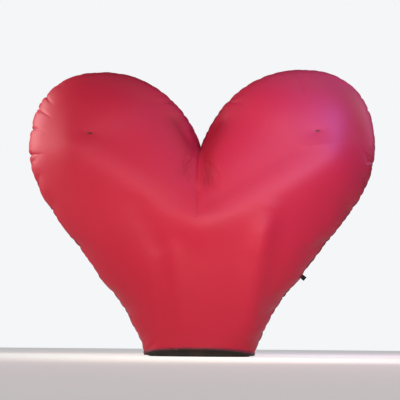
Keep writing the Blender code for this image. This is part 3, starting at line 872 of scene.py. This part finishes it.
def tieLoop(half):
    root, out, side, along = (Vector(tieLoops[half][key]) for key in ("root", "out", "side", "along"))
    ply, eye, sunk = tieLoops["ply"], tieLoops["eye"], tieLoops["sunk"]
    gap = ply / 2 + 0.0001
    centre = tieLoops["root"] + eye - sunk
    middle = tieLoops["root"] * 0.5
    path = [(-sunk, gap), (middle, gap)]
    start = math.pi - math.asin(gap / eye)
    for k in range(tieLoops["steps"] + 1):
        a = start - 2 * start * k / tieLoops["steps"]
        bulge = eye * math.sin(a) * tieLoops["openness"][half]
        if half == "left":
            bulge += math.copysign(gap * 0.9, math.sin(a))
        path.append((centre + eye * math.cos(a), bulge))
    path += [(middle, -gap), (-sunk, -gap)]
    bm = bmesh.new()
    sheet(bm, [[root + out * a + side * b + along * tieLoops["width"] * (k / 8 - 0.5) for a, b in path]
               for k in range(9)])
    bmesh.ops.recalc_face_normals(bm, faces=bm.faces)
    name = half.capitalize()
    piece = newPiece("tieLoop" + name, bm, webbing, ("tie_loop_" + half,))
    thicken(piece, ply, 0.0, tieLoops["edge"])
    # box of stitches through the root, a row on each side of it
    bm = bmesh.new()
    corners = tieLoops["box"]
    runs = list(zip(corners, corners[1:] + corners[:1])) + [(corners[0], corners[2]), (corners[1], corners[3])]
    for face in (-1, 1):
        for run in runs:
            ends = [root + out * a + along * b + side * face * (ply + 0.0003) for a, b in run]
            stitchRow(bm, *ends, 0.0032, 0.0005)
    newPiece("tieLoopStitches" + name, bm, paleThread)


webbing = finish("woven", "blackWebbing", (0.014, 0.013, 0.015), (0.006, 0.006, 0.007), 0.0030)
paleThread = threadOf("greyThread", (0.16, 0.15, 0.15))
tieLoop("right")
tieLoop("left")

# Stitched marks where the inner ties meet the lobes
marks = {"length": 0.058, "height": 0.017, "thick": 0.0022, "rim": 0.0018, "crown": 0.0006, "knot": 0.0095,
         "tacks": (-4, -3, -2, 2, 3, 4), "tackStep": 0.0052, "tackLift": 0.0008}


def onSkin(piece, x, z, side):
    hit, where, normal, _ = piece.ray_cast(Vector((x, side * 3, z)), Vector((0, -side, 0)))
    return where, normal


def tieMark(half, side):
    ends = ("front" if side < 0 else "back", "left" if half < 0 else "right")
    label = ends[0].capitalize() + ends[1].capitalize()
    where, normal = onSkin(front if side < 0 else back, *tieMarks["spots"][half], side)
    turn = Vector((0, 0, 1)).rotation_difference(normal).to_matrix().to_4x4()
    # keeps the patch's length level
    level = turn.inverted().to_3x3() @ Vector((1, 0, 0))
    spin = Matrix.Rotation(math.atan2(level.y, level.x), 4, "Z")
    place = Matrix.Translation(where + normal * 0.0004) @ turn @ spin
    bm = bmesh.new()
    bmesh.ops.create_circle(bm, cap_ends=True, segments=40, radius=marks["height"] / 2)
    stretch = (marks["length"] - marks["height"]) / 2
    for v in bm.verts:
        v.co.x += stretch if v.co.x > 0 else -stretch
    lift = bmesh.ops.extrude_face_region(bm, geom=bm.faces[:])["geom"]
    bmesh.ops.translate(bm, verts=vertsOf(lift), vec=(0, 0, marks["thick"]))
    top = [g for g in lift if isinstance(g, bmesh.types.BMFace)]
    bmesh.ops.inset_region(bm, faces=top, thickness=marks["rim"], depth=marks["crown"])
    bmesh.ops.recalc_face_normals(bm, faces=bm.faces)
    bmesh.ops.transform(bm, matrix=place, verts=bm.verts)
    newPiece("tiePatch" + label, bm, patchCloth, ("tie_patch_" + "_".join(ends),))
    # the knot in the middle, wound with dark thread, and the row of bar tacks beside it
    bm = bmesh.new()
    bmesh.ops.create_uvsphere(bm, u_segments=20, v_segments=10, radius=marks["knot"])
    bmesh.ops.scale(bm, vec=(1, 1, 0.42), verts=bm.verts)
    bmesh.ops.translate(bm, vec=(0, 0, marks["thick"]), verts=bm.verts)
    step = marks["tackStep"]
    for k in marks["tacks"]:
        tack = [Vector((k * step, y, marks["thick"] + marks["tackLift"])) for y in (-step, step)]
        stitchRow(bm, *tack, 0.012, 0.0009)
    bmesh.ops.transform(bm, matrix=place, verts=bm.verts)
    newPiece("tieKnot" + label, bm, darkThread)


patchCloth = finish("strip", "patchCloth", (0.30, 0.008, 0.022), (0.24, 0.006, 0.018))
darkThread = threadOf("darkThread", (0.085, 0.004, 0.010))
for half in (-1, 1):
    for side in (-1, 1):
        tieMark(half, side)
print("tie loops and tie marks made")

# The fan's round parts all turn about one line along y, at this height
fan = {"z": 0.310, "middleY": 0.476, "steps": 96}


def turned(bm, profile, steps=fan["steps"], z=fan["z"], closed=True):
    # spins a profile of (radius, y) points about a line along y
    verts = [bm.verts.new((r, y, z)) for r, y in profile]
    pairs = list(zip(verts, verts[1:])) + ([(verts[-1], verts[0])] if closed else [])
    edges = [bm.edges.new(pair) for pair in pairs]
    bmesh.ops.spin(bm, geom=verts + edges, cent=(0, 0, z), axis=(0, 1, 0), dvec=(0, 0, 0),
                   angle=2 * math.pi, steps=steps, use_merge=True)
    bmesh.ops.remove_doubles(bm, verts=bm.verts, dist=0.00001)


def rod(bm, start, end, radius, sides=12, endRadius=None):
    run = end - start
    place = Matrix.Translation((start + end) / 2) @ run.to_track_quat("Z", "Y").to_matrix().to_4x4()
    return bmesh.ops.create_cone(bm, cap_ends=True, segments=sides, radius1=radius,
                                 radius2=radius if endRadius is None else endRadius,
                                 depth=run.length, matrix=place)["verts"]


def wire(bm, points, radius, sides):
    for start, end in zip(points, points[1:]):
        rod(bm, start, end, radius, sides)


def softBox(bm, size, place, bevel, segments=2):
    verts = bmesh.ops.create_cube(bm, size=1, matrix=place @ Matrix.Diagonal((*size, 1)))["verts"]
    edges = list({e for v in verts for e in v.link_edges})
    bmesh.ops.bevel(bm, geom=edges, offset=bevel, segments=segments, profile=0.5, material=-1, affect="EDGES")


def aroundFan(count, start=0.0, y=0.0, z=fan["z"]):
    # frames evenly round the fan's line, with their own z pointing away from it
    for k in range(count):
        yield moved(0, y, z) @ Matrix.Rotation(2 * math.pi * (k + start) / count, 4, "Y")


drum = {
    # radius and y, once round the wall's section: mouth and lip, outer wall with its bead, inner wall
    "section": [(0.1250, 0.3105), (0.1250, 0.5150), (0.1256, 0.5230), (0.1272, 0.5290), (0.1295, 0.5330),
                (0.1315, 0.5342), (0.1332, 0.5335), (0.1338, 0.5318), (0.1332, 0.5300), (0.1312, 0.5285),
                (0.1302, 0.5265), (0.1300, 0.5230), (0.1300, 0.5120), (0.1306, 0.5105), (0.1308, 0.5090),
                (0.1306, 0.5075), (0.1300, 0.5060), (0.1300, 0.3115), (0.1292, 0.3105)],
    "gussets": 24, "gusset": (0.0026, 0.0190, 0.0030), "gussetAt": (0, 0.5192, 0.1311),
}


def fanDrum():
    bm = bmesh.new()
    turned(bm, drum["section"])
    for turn in aroundFan(drum["gussets"], 0.5):
        softBox(bm, drum["gusset"], turn @ moved(*drum["gussetAt"]), 0.0006, 1)
    hardPiece("fanDrum", bm, blackPlastic, ("fan_drum",))


guard = {
    "wire": 0.0021, "ringY": 0.5219, "rings": (0.0325, 0.045, 0.0575, 0.070, 0.0825, 0.095, 0.107),
    "spokes": 8, "spoke": ((0, 0.5252, 0.016), (0, 0.5246, 0.112), (0, 0.5262, 0.1205)),
    # radius and y of the outer rim and of the middle cap, and both ends of a rivet on that
    "rim": [(0.1190, 0.5222), (0.1236, 0.5218), (0.1244, 0.5226), (0.1245, 0.5262), (0.1238, 0.5282),
            (0.1212, 0.5288), (0.1192, 0.5278)],
    "cap": [(0.0, 0.5216), (0.022, 0.5216), (0.0226, 0.5232), (0.0216, 0.5258), (0.018, 0.5282), (0.011, 0.5292),
            (0.00924, 0.5288), (0.0, 0.5288)],
    "rivet": ((0, 0.5285, 0.0135), (0, 0.5302, 0.0135)),
}


def intakeGuard():
    bm = bmesh.new()
    thin = guard["wire"] * 0.8
    corners = [2 * math.pi * k / 8 for k in range(8)]
    for radius in guard["rings"]:
        turned(bm, [(radius + thin * math.cos(a), guard["ringY"] + thin * math.sin(a)) for a in corners])
    turned(bm, guard["rim"])
    for turn in aroundFan(guard["spokes"], 0.5):
        wire(bm, [turn @ Vector(p) for p in guard["spoke"]], guard["wire"], 10)
    turned(bm, guard["cap"], 48, closed=False)
    for turn in aroundFan(3):
        rod(bm, *(turn @ Vector(p) for p in guard["rivet"]), 0.0022, 12, 0.0018)
    hardPiece("intakeGuard", bm, wireSteel, ("intake_guard",))


impeller = {"blades": 7, "root": 0.0405, "tip": 0.1175, "pitch": (46, 31), "chord": (0.044, 0.054),
            "thick": (0.0040, 0.0022), "camber": 0.0040, "stations": 9, "points": 7,
            # radius and y of the hub, from its nose over the rim to the back
            "hub": [(0.0, 0.4985), (0.0075, 0.4985), (0.0085, 0.4965), (0.018, 0.4968), (0.028, 0.4945),
                    (0.036, 0.4900), (0.0405, 0.4845), (0.0420, 0.4780), (0.0420, 0.4580), (0.0412, 0.4560),
                    (0.0380, 0.4556), (0.0380, 0.4620), (0.0, 0.4620)]}


def bladeSection(share):
    radius = between(impeller["root"], impeller["tip"], share)
    chord, thick, pitch = (between(*impeller[key], share) for key in ("chord", "thick", "pitch"))
    turn = math.radians(pitch)
    count = impeller["points"]
    points = []
    for side in (1, -1):
        for k in range(count):
            u = k / count if side > 0 else 1 - k / count
            x = (u - 0.5) * chord
            bow = impeller["camber"] * (1 - (2 * u - 1) ** 2)
            half = thick / 2 * math.sqrt(max(0.0, 1 - (2 * u - 1) ** 4)) * side
            y = bow + half - impeller["camber"] / 2
            px, py = x * math.cos(turn) - y * math.sin(turn), x * math.sin(turn) + y * math.cos(turn)
            points.append(Vector((px, py, math.sqrt(radius ** 2 - px ** 2))))
    return points


def fanImpeller():
    bm = bmesh.new()
    turned(bm, impeller["hub"], 64, closed=False)
    last = impeller["stations"] - 1
    for turn in aroundFan(impeller["blades"], y=fan["middleY"]):
        sweep(bm, [[turn @ p for p in bladeSection(j / last)] for j in range(last + 1)])
    hardPiece("fanImpeller", bm, greyPlastic, ("fan_impeller",), "impeller")


motor = {
    "can": [(0.0, 0.3300), (0.018, 0.3300), (0.022, 0.3320), (0.038, 0.3325), (0.048, 0.3350), (0.0540, 0.3410),
            (0.0550, 0.3480), (0.0550, 0.3560), (0.0532, 0.3575), (0.0532, 0.4180), (0.0550, 0.4195),
            (0.0550, 0.4290), (0.0530, 0.4370), (0.0450, 0.4415), (0.0220, 0.4430), (0.0180, 0.4450),
            (0.0065, 0.4450), (0.0060, 0.4550), (0.0060, 0.4620), (0.0, 0.4620)],
    # count, start, size, place, bevel and its segments
    "round": [(30, 0.5, (0.0018, 0.0600, 0.0034), (0, 0.3878, 0.0536), 0.0004, 1),
              (3, 0, (0.0150, 0.0210, 0.0710), (0, 0.366, 0.0885), 0.0030, 3),
              (3, 0, (0.0260, 0.0300, 0.0030), (0, 0.366, 0.1226), 0.0012, 2)],
}


def fanMotor():
    # the can with its cooling fins, and the struts with their feet
    bm = bmesh.new()
    turned(bm, motor["can"], 72, closed=False)
    for count, start, size, place, bevel, segments in motor["round"]:
        for turn in aroundFan(count, start):
            softBox(bm, size, turn @ moved(*place), bevel, segments)
    hardPiece("fanMotor", bm, motorPaint, ("fan_motor",))


cuff = {
    "steps": 192,
    # radius and lift off the skin of the sewn ring around the opening
    "ring": ((0.1690, 0.0004), (0.1680, 0.0016), (0.1500, 0.0020), (0.1415, 0.0040)),
    "strapFront": 0.4645, "strapBack": 0.4895, "end": 0.5020, "start": 0.1405,
    "underStrap": 0.1324, "least": 0.1312, "frill": 0.1392, "opening": 0.147,
    "pleat": 0.0022, "thick": 0.0010, "stitch": 0.0045, "stitchRows": (0.1475, 0.1645),
}


def onRing(angle, radius, lift):
    where, normal = onSkin(back, math.cos(angle) * radius, fan["z"] + math.sin(angle) * radius, 1)
    return where + normal * lift


def cuffPoint(row, angle):
    # rows run over the sewn ring, the pleated sleeve, the stretch under the strap and the frill
    ring = cuff["ring"]
    if row < len(ring):
        return onRing(angle, *ring[row])
    seat = onRing(angle, ring[-1][0], 0).y + 0.006
    wave = (math.sin(angle * 31) + 0.6 * math.sin(angle * 47 + 1) + 0.4 * math.sin(angle * 19 + 2)) / 2
    row -= len(ring)
    under = cuff["underStrap"]
    if row < 6:
        t = row / 5
        y = between(seat, cuff["strapFront"], t)
        belly = math.sin(math.pi * min(t * 1.1, 1.0)) * (cuff["strapFront"] - seat) / 0.06
        r = between(cuff["start"], under, t) + 0.0025 * belly + cuff["pleat"] * wave * (0.3 + belly)
    elif row < 8:
        y = between(cuff["strapFront"], cuff["strapBack"], (row - 5) / 2)
        r = under + 0.0005 * wave
    else:
        t = (row - 7) / 3
        y = between(cuff["strapBack"], cuff["end"] + 0.0012 * wave, t)
        r = between(under, cuff["frill"] + cuff["pleat"] * wave, t)
    r = max(r, cuff["least"])
    return Vector((math.cos(angle) * r, y, fan["z"] + math.sin(angle) * r))


def gatheredCuff():
    angles = [2 * math.pi * k / cuff["steps"] for k in range(cuff["steps"])]
    bm = bmesh.new()
    sheet(bm, [[cuffPoint(row, a) for a in angles] for row in range(len(cuff["ring"]) + 11)], closed=True)
    bmesh.ops.recalc_face_normals(bm, faces=bm.faces)
    thicken(newPiece("gatheredCuff", bm, cuffCloth, ("fan_cuff",)), cuff["thick"])
    bm = bmesh.new()
    for radius in cuff["stitchRows"]:
        count = round(2 * math.pi * radius / cuff["stitch"])
        ring = [onRing(2 * math.pi * k / count, radius, 0.0026) for k in range(count)]
        for start, end in zip(ring, ring[1:] + ring[:1]):
            stitchRow(bm, start, end, cuff["stitch"], 0.0005)
    newPiece("cuffStitches", bm, redThread)


def openBack():
    # the round opening in the back panel behind the sewn ring
    bm = bmesh.new()
    bm.from_mesh(back.data)
    middle = Vector((0, 0, fan["z"]))
    inside = [f for f in bm.faces if (f.calc_center_median() - middle).xz.length < cuff["opening"]]
    bmesh.ops.delete(bm, geom=inside, context="FACES")
    bm.to_mesh(back.data)
    bm.free()


strap = {"inner": 0.1347, "thick": 0.0028, "width": 0.0250, "y": 0.477, "tail": (84, -8), "tailLift": 0.0004,
         "tailSteps": 40, "keeper": 38, "keeperSpan": (-0.035, 0.0, 0.035), "keeperThick": 0.0016}


def strapOutline(thick, width):
    # corners of the section, outward and along y
    half, soft = width / 2, thick * 0.3
    low = [(0, -half + soft), (soft, -half), (thick - soft, -half), (thick, -half + soft)]
    return low + [(a, -b) for a, b in reversed(low)]


def strapSection(angle, radius, thick, width):
    ux, uz = math.cos(angle), math.sin(angle)
    return [Vector((ux * (radius + a), strap["y"] + b, fan["z"] + uz * (radius + a)))
            for a, b in strapOutline(thick, width)]


def cuffStrap():
    bm = bmesh.new()
    t = strap["thick"]
    turned(bm, [(strap["inner"] + a, strap["y"] + b) for a, b in strapOutline(t, strap["width"])], 144)
    bmesh.ops.recalc_face_normals(bm, faces=bm.faces)
    newPiece("cuffStrap", bm, webbing, ("cuff_strap",))
    # the free end comes out of the buckle, follows the strap and lifts a little
    bm = bmesh.new()
    high, low = (math.radians(a) for a in strap["tail"])
    sections = []
    for k in range(strap["tailSteps"] + 1):
        share = k / strap["tailSteps"]
        lift = strap["tailLift"] + 0.0022 * (1 - min(share * 6, 1)) + 0.010 * max(0.0, share - 0.8) ** 1.5 * 5
        sections.append(strapSection(between(high, low, share), strap["inner"] + t + lift, t * 0.9,
                                     strap["width"] - 0.0006))
    sweep(bm, sections)
    middle, outside = math.radians(strap["keeper"]), strap["inner"] + t * 2 + 0.0006
    sweep(bm, [strapSection(middle + span, outside, strap["keeperThick"], strap["width"] + 0.0040)
               for span in strap["keeperSpan"]])
    bmesh.ops.recalc_face_normals(bm, faces=bm.faces)
    newPiece("strapTail", bm, webbing)


buckle = {"length": 0.044, "width": 0.034, "height": 0.0095, "bar": 0.0042, "rail": 0.0052,
          "grip": (0.0125, -24),      # x and slope in degrees
          # x, height and lift of the cross bars
          "bars": ((-0.0195, 0.0050, 0.0052), (-0.006, 0.0036, 0.0068), (0.0065, 0.0036, 0.0030),
                   (0.0195, 0.0050, 0.0050))}


def strapBuckle():
    bm = bmesh.new()
    top, y, width = fan["z"] + strap["inner"] + strap["thick"], strap["y"], buckle["width"]
    for side in (-1, 1):
        place = moved(0, y + side * (width / 2 - 0.0028), top + buckle["height"] / 2 - 0.0008)
        softBox(bm, (buckle["length"], buckle["rail"], buckle["height"]), place, 0.0018, 3)
    for x, height, lift in buckle["bars"]:
        softBox(bm, (buckle["bar"], width - 0.006, height), moved(x, y, top + lift), 0.0012)
    # the sloping grip bar with its teeth
    x, slope = buckle["grip"]
    tilt = moved(x, y, top + 0.0098) @ Matrix.Rotation(math.radians(slope), 4, "Y")
    softBox(bm, (0.0150, width - 0.008, 0.0026), tilt, 0.0009)
    for k in range(4):
        softBox(bm, (0.0012, width - 0.012, 0.0012), tilt @ moved(-0.0048 + 0.0032 * k, 0, 0.0016), 0.0003, 1)
    hardPiece("strapBuckle", bm, smoothPlastic, ("strap_buckle",))


terminal = {"size": (0.080, 0.040), "z": 0.170, "bodyY": (0.4980, 0.5235), "lidY": (0.5240, 0.5322),
            "sealY": 0.5238, "screw": 0.0034, "screwIn": 0.0072, "ear": (0.0120, 0.0170, 0.0060),
            "earAt": (0.0335, 0.5085, 0.0215)}


def terminalBox():
    bm = bmesh.new()
    (x, z), middle = terminal["size"], terminal["z"]
    for (y0, y1), less, soft in ((terminal["bodyY"], 0.002, 0.003), (terminal["lidY"], 0.0, 0.0022)):
        softBox(bm, (x - less, y1 - y0, z - less), moved(0, (y0 + y1) / 2, middle), soft, 3)
    # seal between body and lid, and the two ears that hold the box to the drum
    softBox(bm, (x - 0.005, 0.0016, z - 0.005), moved(0, terminal["sealY"], middle), 0.0004, 1)
    earX, earY, earZ = terminal["earAt"]
    for side in (-1, 1):
        lean = Matrix.Rotation(side * math.radians(15), 4, "Y")
        softBox(bm, terminal["ear"], moved(side * earX, earY, middle + earZ) @ lean, 0.0012)
    inset, radius = terminal["screwIn"], terminal["screw"]
    for sx in (-1, 1):
        for sz in (-1, 1):
            foot = Vector((sx * (x / 2 - inset), terminal["lidY"][1] - 0.0004, middle + sz * (z / 2 - inset)))
            verts = rod(bm, foot, foot + Vector((0, 0.0018, 0)), radius, 18, radius * 0.86)
            top = [f for f in {f for v in verts for f in v.link_faces} if len(f.verts) == 18
                   and f.calc_center_median().y > foot.y + 0.001]
            bmesh.ops.inset_region(bm, faces=top, thickness=0.0014, depth=-0.0009)
    hardPiece("terminalBox", bm, boxPlastic, ("terminal_box",))


gland = {
    "z": 0.164, "foot": 0.5325, "hexagon": (0.0046, 0.0114), "ribs": 12,
    # radius and y above the foot, from the hexagon over the cap into the cord's hole
    "cap": [(0.0, 0.0046), (0.0088, 0.0046), (0.0088, 0.0064), (0.0098, 0.0066), (0.0098, 0.0112),
            (0.0090, 0.0142), (0.0076, 0.0178), (0.0046, 0.0178), (0.0042, 0.0164), (0.0042, 0.0118),
            (0.0, 0.0118)],
}


def cordGland():
    bm = bmesh.new()
    z, foot = gland["z"], gland["foot"]
    high, radius = gland["hexagon"]
    rod(bm, Vector((0, foot, z)), Vector((0, foot + high, z)), radius, 6)
    turned(bm, [(r, foot + y) for r, y in gland["cap"]], 36, z, closed=False)
    for turn in aroundFan(gland["ribs"], y=foot + 0.0092, z=z):
        softBox(bm, (0.0016, 0.0048, 0.0010), turn @ moved(0, 0, 0.0098), 0.0003, 1)
    hardPiece("cordGland", bm, smoothPlastic, ("cord_gland",))


blackPlastic = finish("plastic", "blackFanPlastic", (0.020, 0.020, 0.022), (0.011, 0.011, 0.012))
greyPlastic = finish("plastic", "greyImpellerPlastic", (0.075, 0.078, 0.082), (0.052, 0.054, 0.058),
                     Roughness=0.38)
smoothPlastic = finish("plastic", "smoothBlackPlastic", (0.016, 0.016, 0.017), (0.010, 0.010, 0.011),
                       Roughness=0.28)
boxPlastic = finish("plastic", "boxPlastic", (0.034, 0.035, 0.037), (0.024, 0.025, 0.026), Roughness=0.5)
motorPaint = finish("plastic", "motorPaint", (0.060, 0.062, 0.066), (0.036, 0.037, 0.040), Roughness=0.34)
wireSteel = finish("metal", "brightWireSteel", (0.58, 0.58, 0.60), (0.42, 0.42, 0.44))
redThread = threadOf("redThread", (0.30, 0.010, 0.030))
cuffCloth = finish("strip", "cuffCloth", (0.44, 0.006, 0.020), (0.36, 0.004, 0.016))
for makePiece in (gatheredCuff, openBack, fanDrum, intakeGuard, fanImpeller, fanMotor, cuffStrap, strapBuckle,
                  terminalBox, cordGland):
    makePiece()
print("fan and cuff made")

# Deflation zip on the back, above the fan
fastener = {
    "z": (0.560, 1.080), "tape": (0.0013, 0.0075, 0.0130, 0.0170), "lift": 0.0012, "thick": 0.0011,
    "edge": 0.0003, "tooth": 0.0042, "toothSize": (0.0036, 0.0020, 0.0022), "stop": (0.0080, 0.0026, 0.0034),
    "stitch": 0.0050, "stitchX": (0.0105, 0.0150), "sliderZ": 1.050,
    # size, place, bevel and its segments: two plates with a bridge between them, and their side rims
    "slider": [((0.0135, 0.0018, 0.0210), (0, 0.0048, 0), 0.0008, 3),
               ((0.0110, 0.0022, 0.0180), (0, 0.0016, 0), 0.0006, 2),
               ((0.0030, 0.0050, 0.0090), (0, 0.0030, 0.0055), 0.0008, 2),
               ((0.0016, 0.0056, 0.0170), (-0.0060, 0.0028, -0.0010), 0.0005, 2),
               ((0.0016, 0.0056, 0.0170), (0.0060, 0.0028, -0.0010), 0.0005, 2)],
    # the same for the pull's tab and its three grip bars
    "pull": [((0.0110, 0.0022, 0.0260), (0, 0, -0.0040), 0.0009, 3)] + [
        ((0.0086, 0.0030, 0.0022), (0, 0, z), 0.0006, 2) for z in (-0.002, -0.0075, -0.013)],
}


def fastenerSpot(x, z, lift):
    where, normal = onSkin(back, x, z, 1)
    return where + normal * lift


def onFastener(z):
    # a frame on the skin at the zip's middle, with its y pointing away from the skin
    where, normal = onSkin(back, 0.0, z, 1)
    return Matrix.Translation(where) @ Matrix.Rotation(-math.atan2(-normal.z, normal.y), 4, "X")


def zipTape(side, name, replaced):
    low, high = fastener["z"]
    steps = round((high - low) / 0.006)
    bm = bmesh.new()
    heights = [between(low, high, i / steps) for i in range(steps + 1)]
    sheet(bm, [[fastenerSpot(side * x, z, fastener["lift"]) for z in heights] for x in fastener["tape"]])
    bmesh.ops.recalc_face_normals(bm, faces=bm.faces)
    thicken(newPiece(name, bm, zipCloth, replaced), fastener["thick"], 0.0, fastener["edge"], 1)


def zipTeeth():
    low, high = fastener["z"]
    tooth = fastener["tooth"]
    bm = bmesh.new()
    for k in range(round((high - low - 0.008) / tooth)):
        place = onFastener(low + 0.004 + tooth * (k + 0.5))
        for side in (-1, 1):
            shift = moved(side * 0.0013, fastener["lift"] + 0.0009, side * tooth / 4)
            softBox(bm, fastener["toothSize"], place @ shift, 0.0005, 1)
    for z in (low + 0.003, high - 0.003):
        softBox(bm, fastener["stop"], Matrix.Translation(fastenerSpot(0.0, z, 0.0018)), 0.0007)
    hardPiece("zipTeeth", bm, zipCoil, ())
    bm = bmesh.new()
    pitch = fastener["stitch"]
    for side in (-1, 1):
        for x in fastener["stitchX"]:
            spots = [fastenerSpot(side * x, low + 0.003 + pitch * i, fastener["lift"] + 0.0008)
                     for i in range(round((high - low - 0.006) / pitch) + 1)]
            for start, end in zip(spots, spots[1:]):
                stitchRow(bm, start, end, pitch, 0.0004)
    newPiece("zipStitches", bm, redThread)


def boxesAt(place, rows):
    bm = bmesh.new()
    for size, spot, bevel, segments in rows:
        softBox(bm, size, place @ moved(*spot), bevel, segments)
    return bm


def zipSlider():
    place = onFastener(fastener["sliderZ"])
    bm = boxesAt(place, fastener["slider"])
    # the arched lug that the pull hangs in
    wire(bm, [place @ Vector((0, 0.0052 + 0.0034 * math.sin(math.pi * k / 8), 0.0070 - 0.0130 * k / 8))
              for k in range(9)], 0.0012, 10)
    hardPiece("zipSlider", bm, wireSteel, ("zip_slider",))
    hang = place @ moved(0, 0.0092, -0.0165) @ Matrix.Rotation(math.radians(2), 4, "X")
    bm = boxesAt(hang, fastener["pull"])
    turns = [2 * math.pi * k / 20 for k in range(21)]
    wire(bm, [hang @ Vector((0.0042 * math.sin(a), 0, 0.0128 + 0.0056 * math.cos(a))) for a in turns], 0.0010, 8)
    hardPiece("zipPull", bm, wireSteel, ("zip_pull",))


zipCloth = finish("woven", "zipTapeCloth", (0.19, 0.009, 0.024), (0.13, 0.006, 0.016))
zipCoil = finish("plastic", "zipCoil", (0.070, 0.005, 0.012), (0.045, 0.004, 0.008), Roughness=0.35)
zipTape(-1, "zipTapeLeft", ("zip_tape",))
zipTape(1, "zipTapeRight", ())
zipTeeth()
zipSlider()
print("zip made")

# Light and floor: soft lights all round, cool from the right and warm from behind on the left

studio = {
    "sky": (0.91, 0.92, 0.94, 1), "skySeen": 1.0, "skyLight": 0.0,
    "floor": {"Base Color": (0.80, 0.79, 0.78, 1), "Roughness": 0.8, "Specular IOR Level": 0.1,
              "Emission Color": (1, 1, 1, 1)},
    "floorSize": 15, "floorSeen": 0.50, "floorGlow": 0.2,
    "lights": [
        # place, point aimed at, width and height, power as red, green and blue, spread
        ("bandWide", (-0.5, -4.0, 1.5), (0.75, 0, 1.5), (3.0, 0.8), (14, 12, 12), 90),
        ("bandNarrow", (1.2, -3.2, 1.9), (0.7, 0, 1.5), (1.4, 0.4), (36, 32, 31), 180),
        ("lobeRightFront", (2.5, -3.0, 3.2), (1.2, 0, 2.15), (1.5, 1.5), (1.5, 8.5, 23), 60),
        ("lobeRightFar", (-0.8, -5.0, 3.2), (0.6, 0, 2.0), (1.2, 1.2), (4.5, 5, 6), 60),
        ("lobeRightNear", (0.6, -2.2, 2.6), (1.0, 0, 1.6), (1.0, 0.8), (0, 3, 2.5), 180),
        ("lobeRightTop", (1.5, -1.0, 5.0), (1.1, 0, 2.1), (2.5, 2.5), (0, 5, 5), 80),
        ("lobeRightSide", (4.0, 0.0, 4.0), (1.1, 0, 2.0), (2.5, 2.5), (0, 7.5, 1), 80),
        ("lobeRightBack", (2.5, 1.0, 4.5), (1.1, 0, 2.1), (2.5, 2.5), (0, 1.5, 3.5), 80),
        ("rightBehind", (5, 2.0, 3.5), (0.8, 0, 1.8), (2, 3), (78, 27, 47), 180),
        ("rightAbove", (2.2, 1.0, 6.0), (1.2, 0, 2.3), (3.0, 3.0), (30, 0, 0), 180),
        ("rightAboveBehind", (3.0, 2.5, 5.5), (1.2, 0, 2.3), (2.0, 3.0), (9, 0, 0), 120),
        ("leftHigh", (-4.0, -2.2, 3.0), (-1.1, 0, 2.0), (1.5, 2.0), (6.5, 10, 8), 70),
        ("leftLow", (-4.5, -1.8, 1.8), (-1.2, 0, 1.8), (1.0, 1.5), (5, 5, 4), 60),
        ("leftBehind", (-4.5, 0.5, 3.0), (-1.4, 0, 2.0), (2.5, 3.5), (34, 37, 34), 80),
        ("overhead", (0, 0, 6), (0, 0, 1.3), (4, 4), (20, 14, 18), 180),
        ("waist", (0.2, -5, 1.0), (0, 0, 0.7), (1.2, 1.2), (4.5, 4, 1), 60),
    ],
}


def addArea(name, place, target, size, power, spread):
    data = bpy.data.lights.new(name, "AREA")
    data.shape = "RECTANGLE"
    data.size, data.size_y = size
    data.energy, data.spread = max(power), math.radians(spread)
    data.color = [part / max(power) for part in power]
    lamp = addObject(name, data)
    lamp.location = place
    lamp.rotation_euler = facing(place, target).to_euler()


def seenAndLit(tree, socket, seen, lit):
    # one strength for what the camera sees, another for the light it casts on the heart
    path = addNode(tree, "ShaderNodeLightPath")
    strength = addNode(tree, "ShaderNodeMapRange", **{
        "Value": path.outputs["Is Camera Ray"], "To Min": lit, "To Max": seen})
    tree.links.new(strength.outputs["Result"], socket)


def addSky():
    world = bpy.data.worlds.new("studio")
    bpy.context.scene.world = world
    world.use_nodes = True
    background = world.node_tree.nodes["Background"]
    background.inputs["Color"].default_value = studio["sky"]
    seenAndLit(world.node_tree, background.inputs["Strength"], studio["skySeen"], studio["skyLight"])


def addFloor():
    bm = bmesh.new()
    bmesh.ops.create_grid(bm, x_segments=1, y_segments=1, size=studio["floorSize"])
    floor = addObject("studioFloor", meshFrom("studioFloor", bm))
    material, tree, shader = newMaterial("paleFloor", studio["floor"])
    seenAndLit(tree, shader.inputs["Emission Strength"], studio["floorSeen"], studio["floorGlow"])
    floor.data.materials.append(material)


bpy.context.scene.view_settings.view_transform = "Standard"
for row in studio["lights"]:
    addArea(*row)
addSky()
addFloor()
print("lights and floor made")
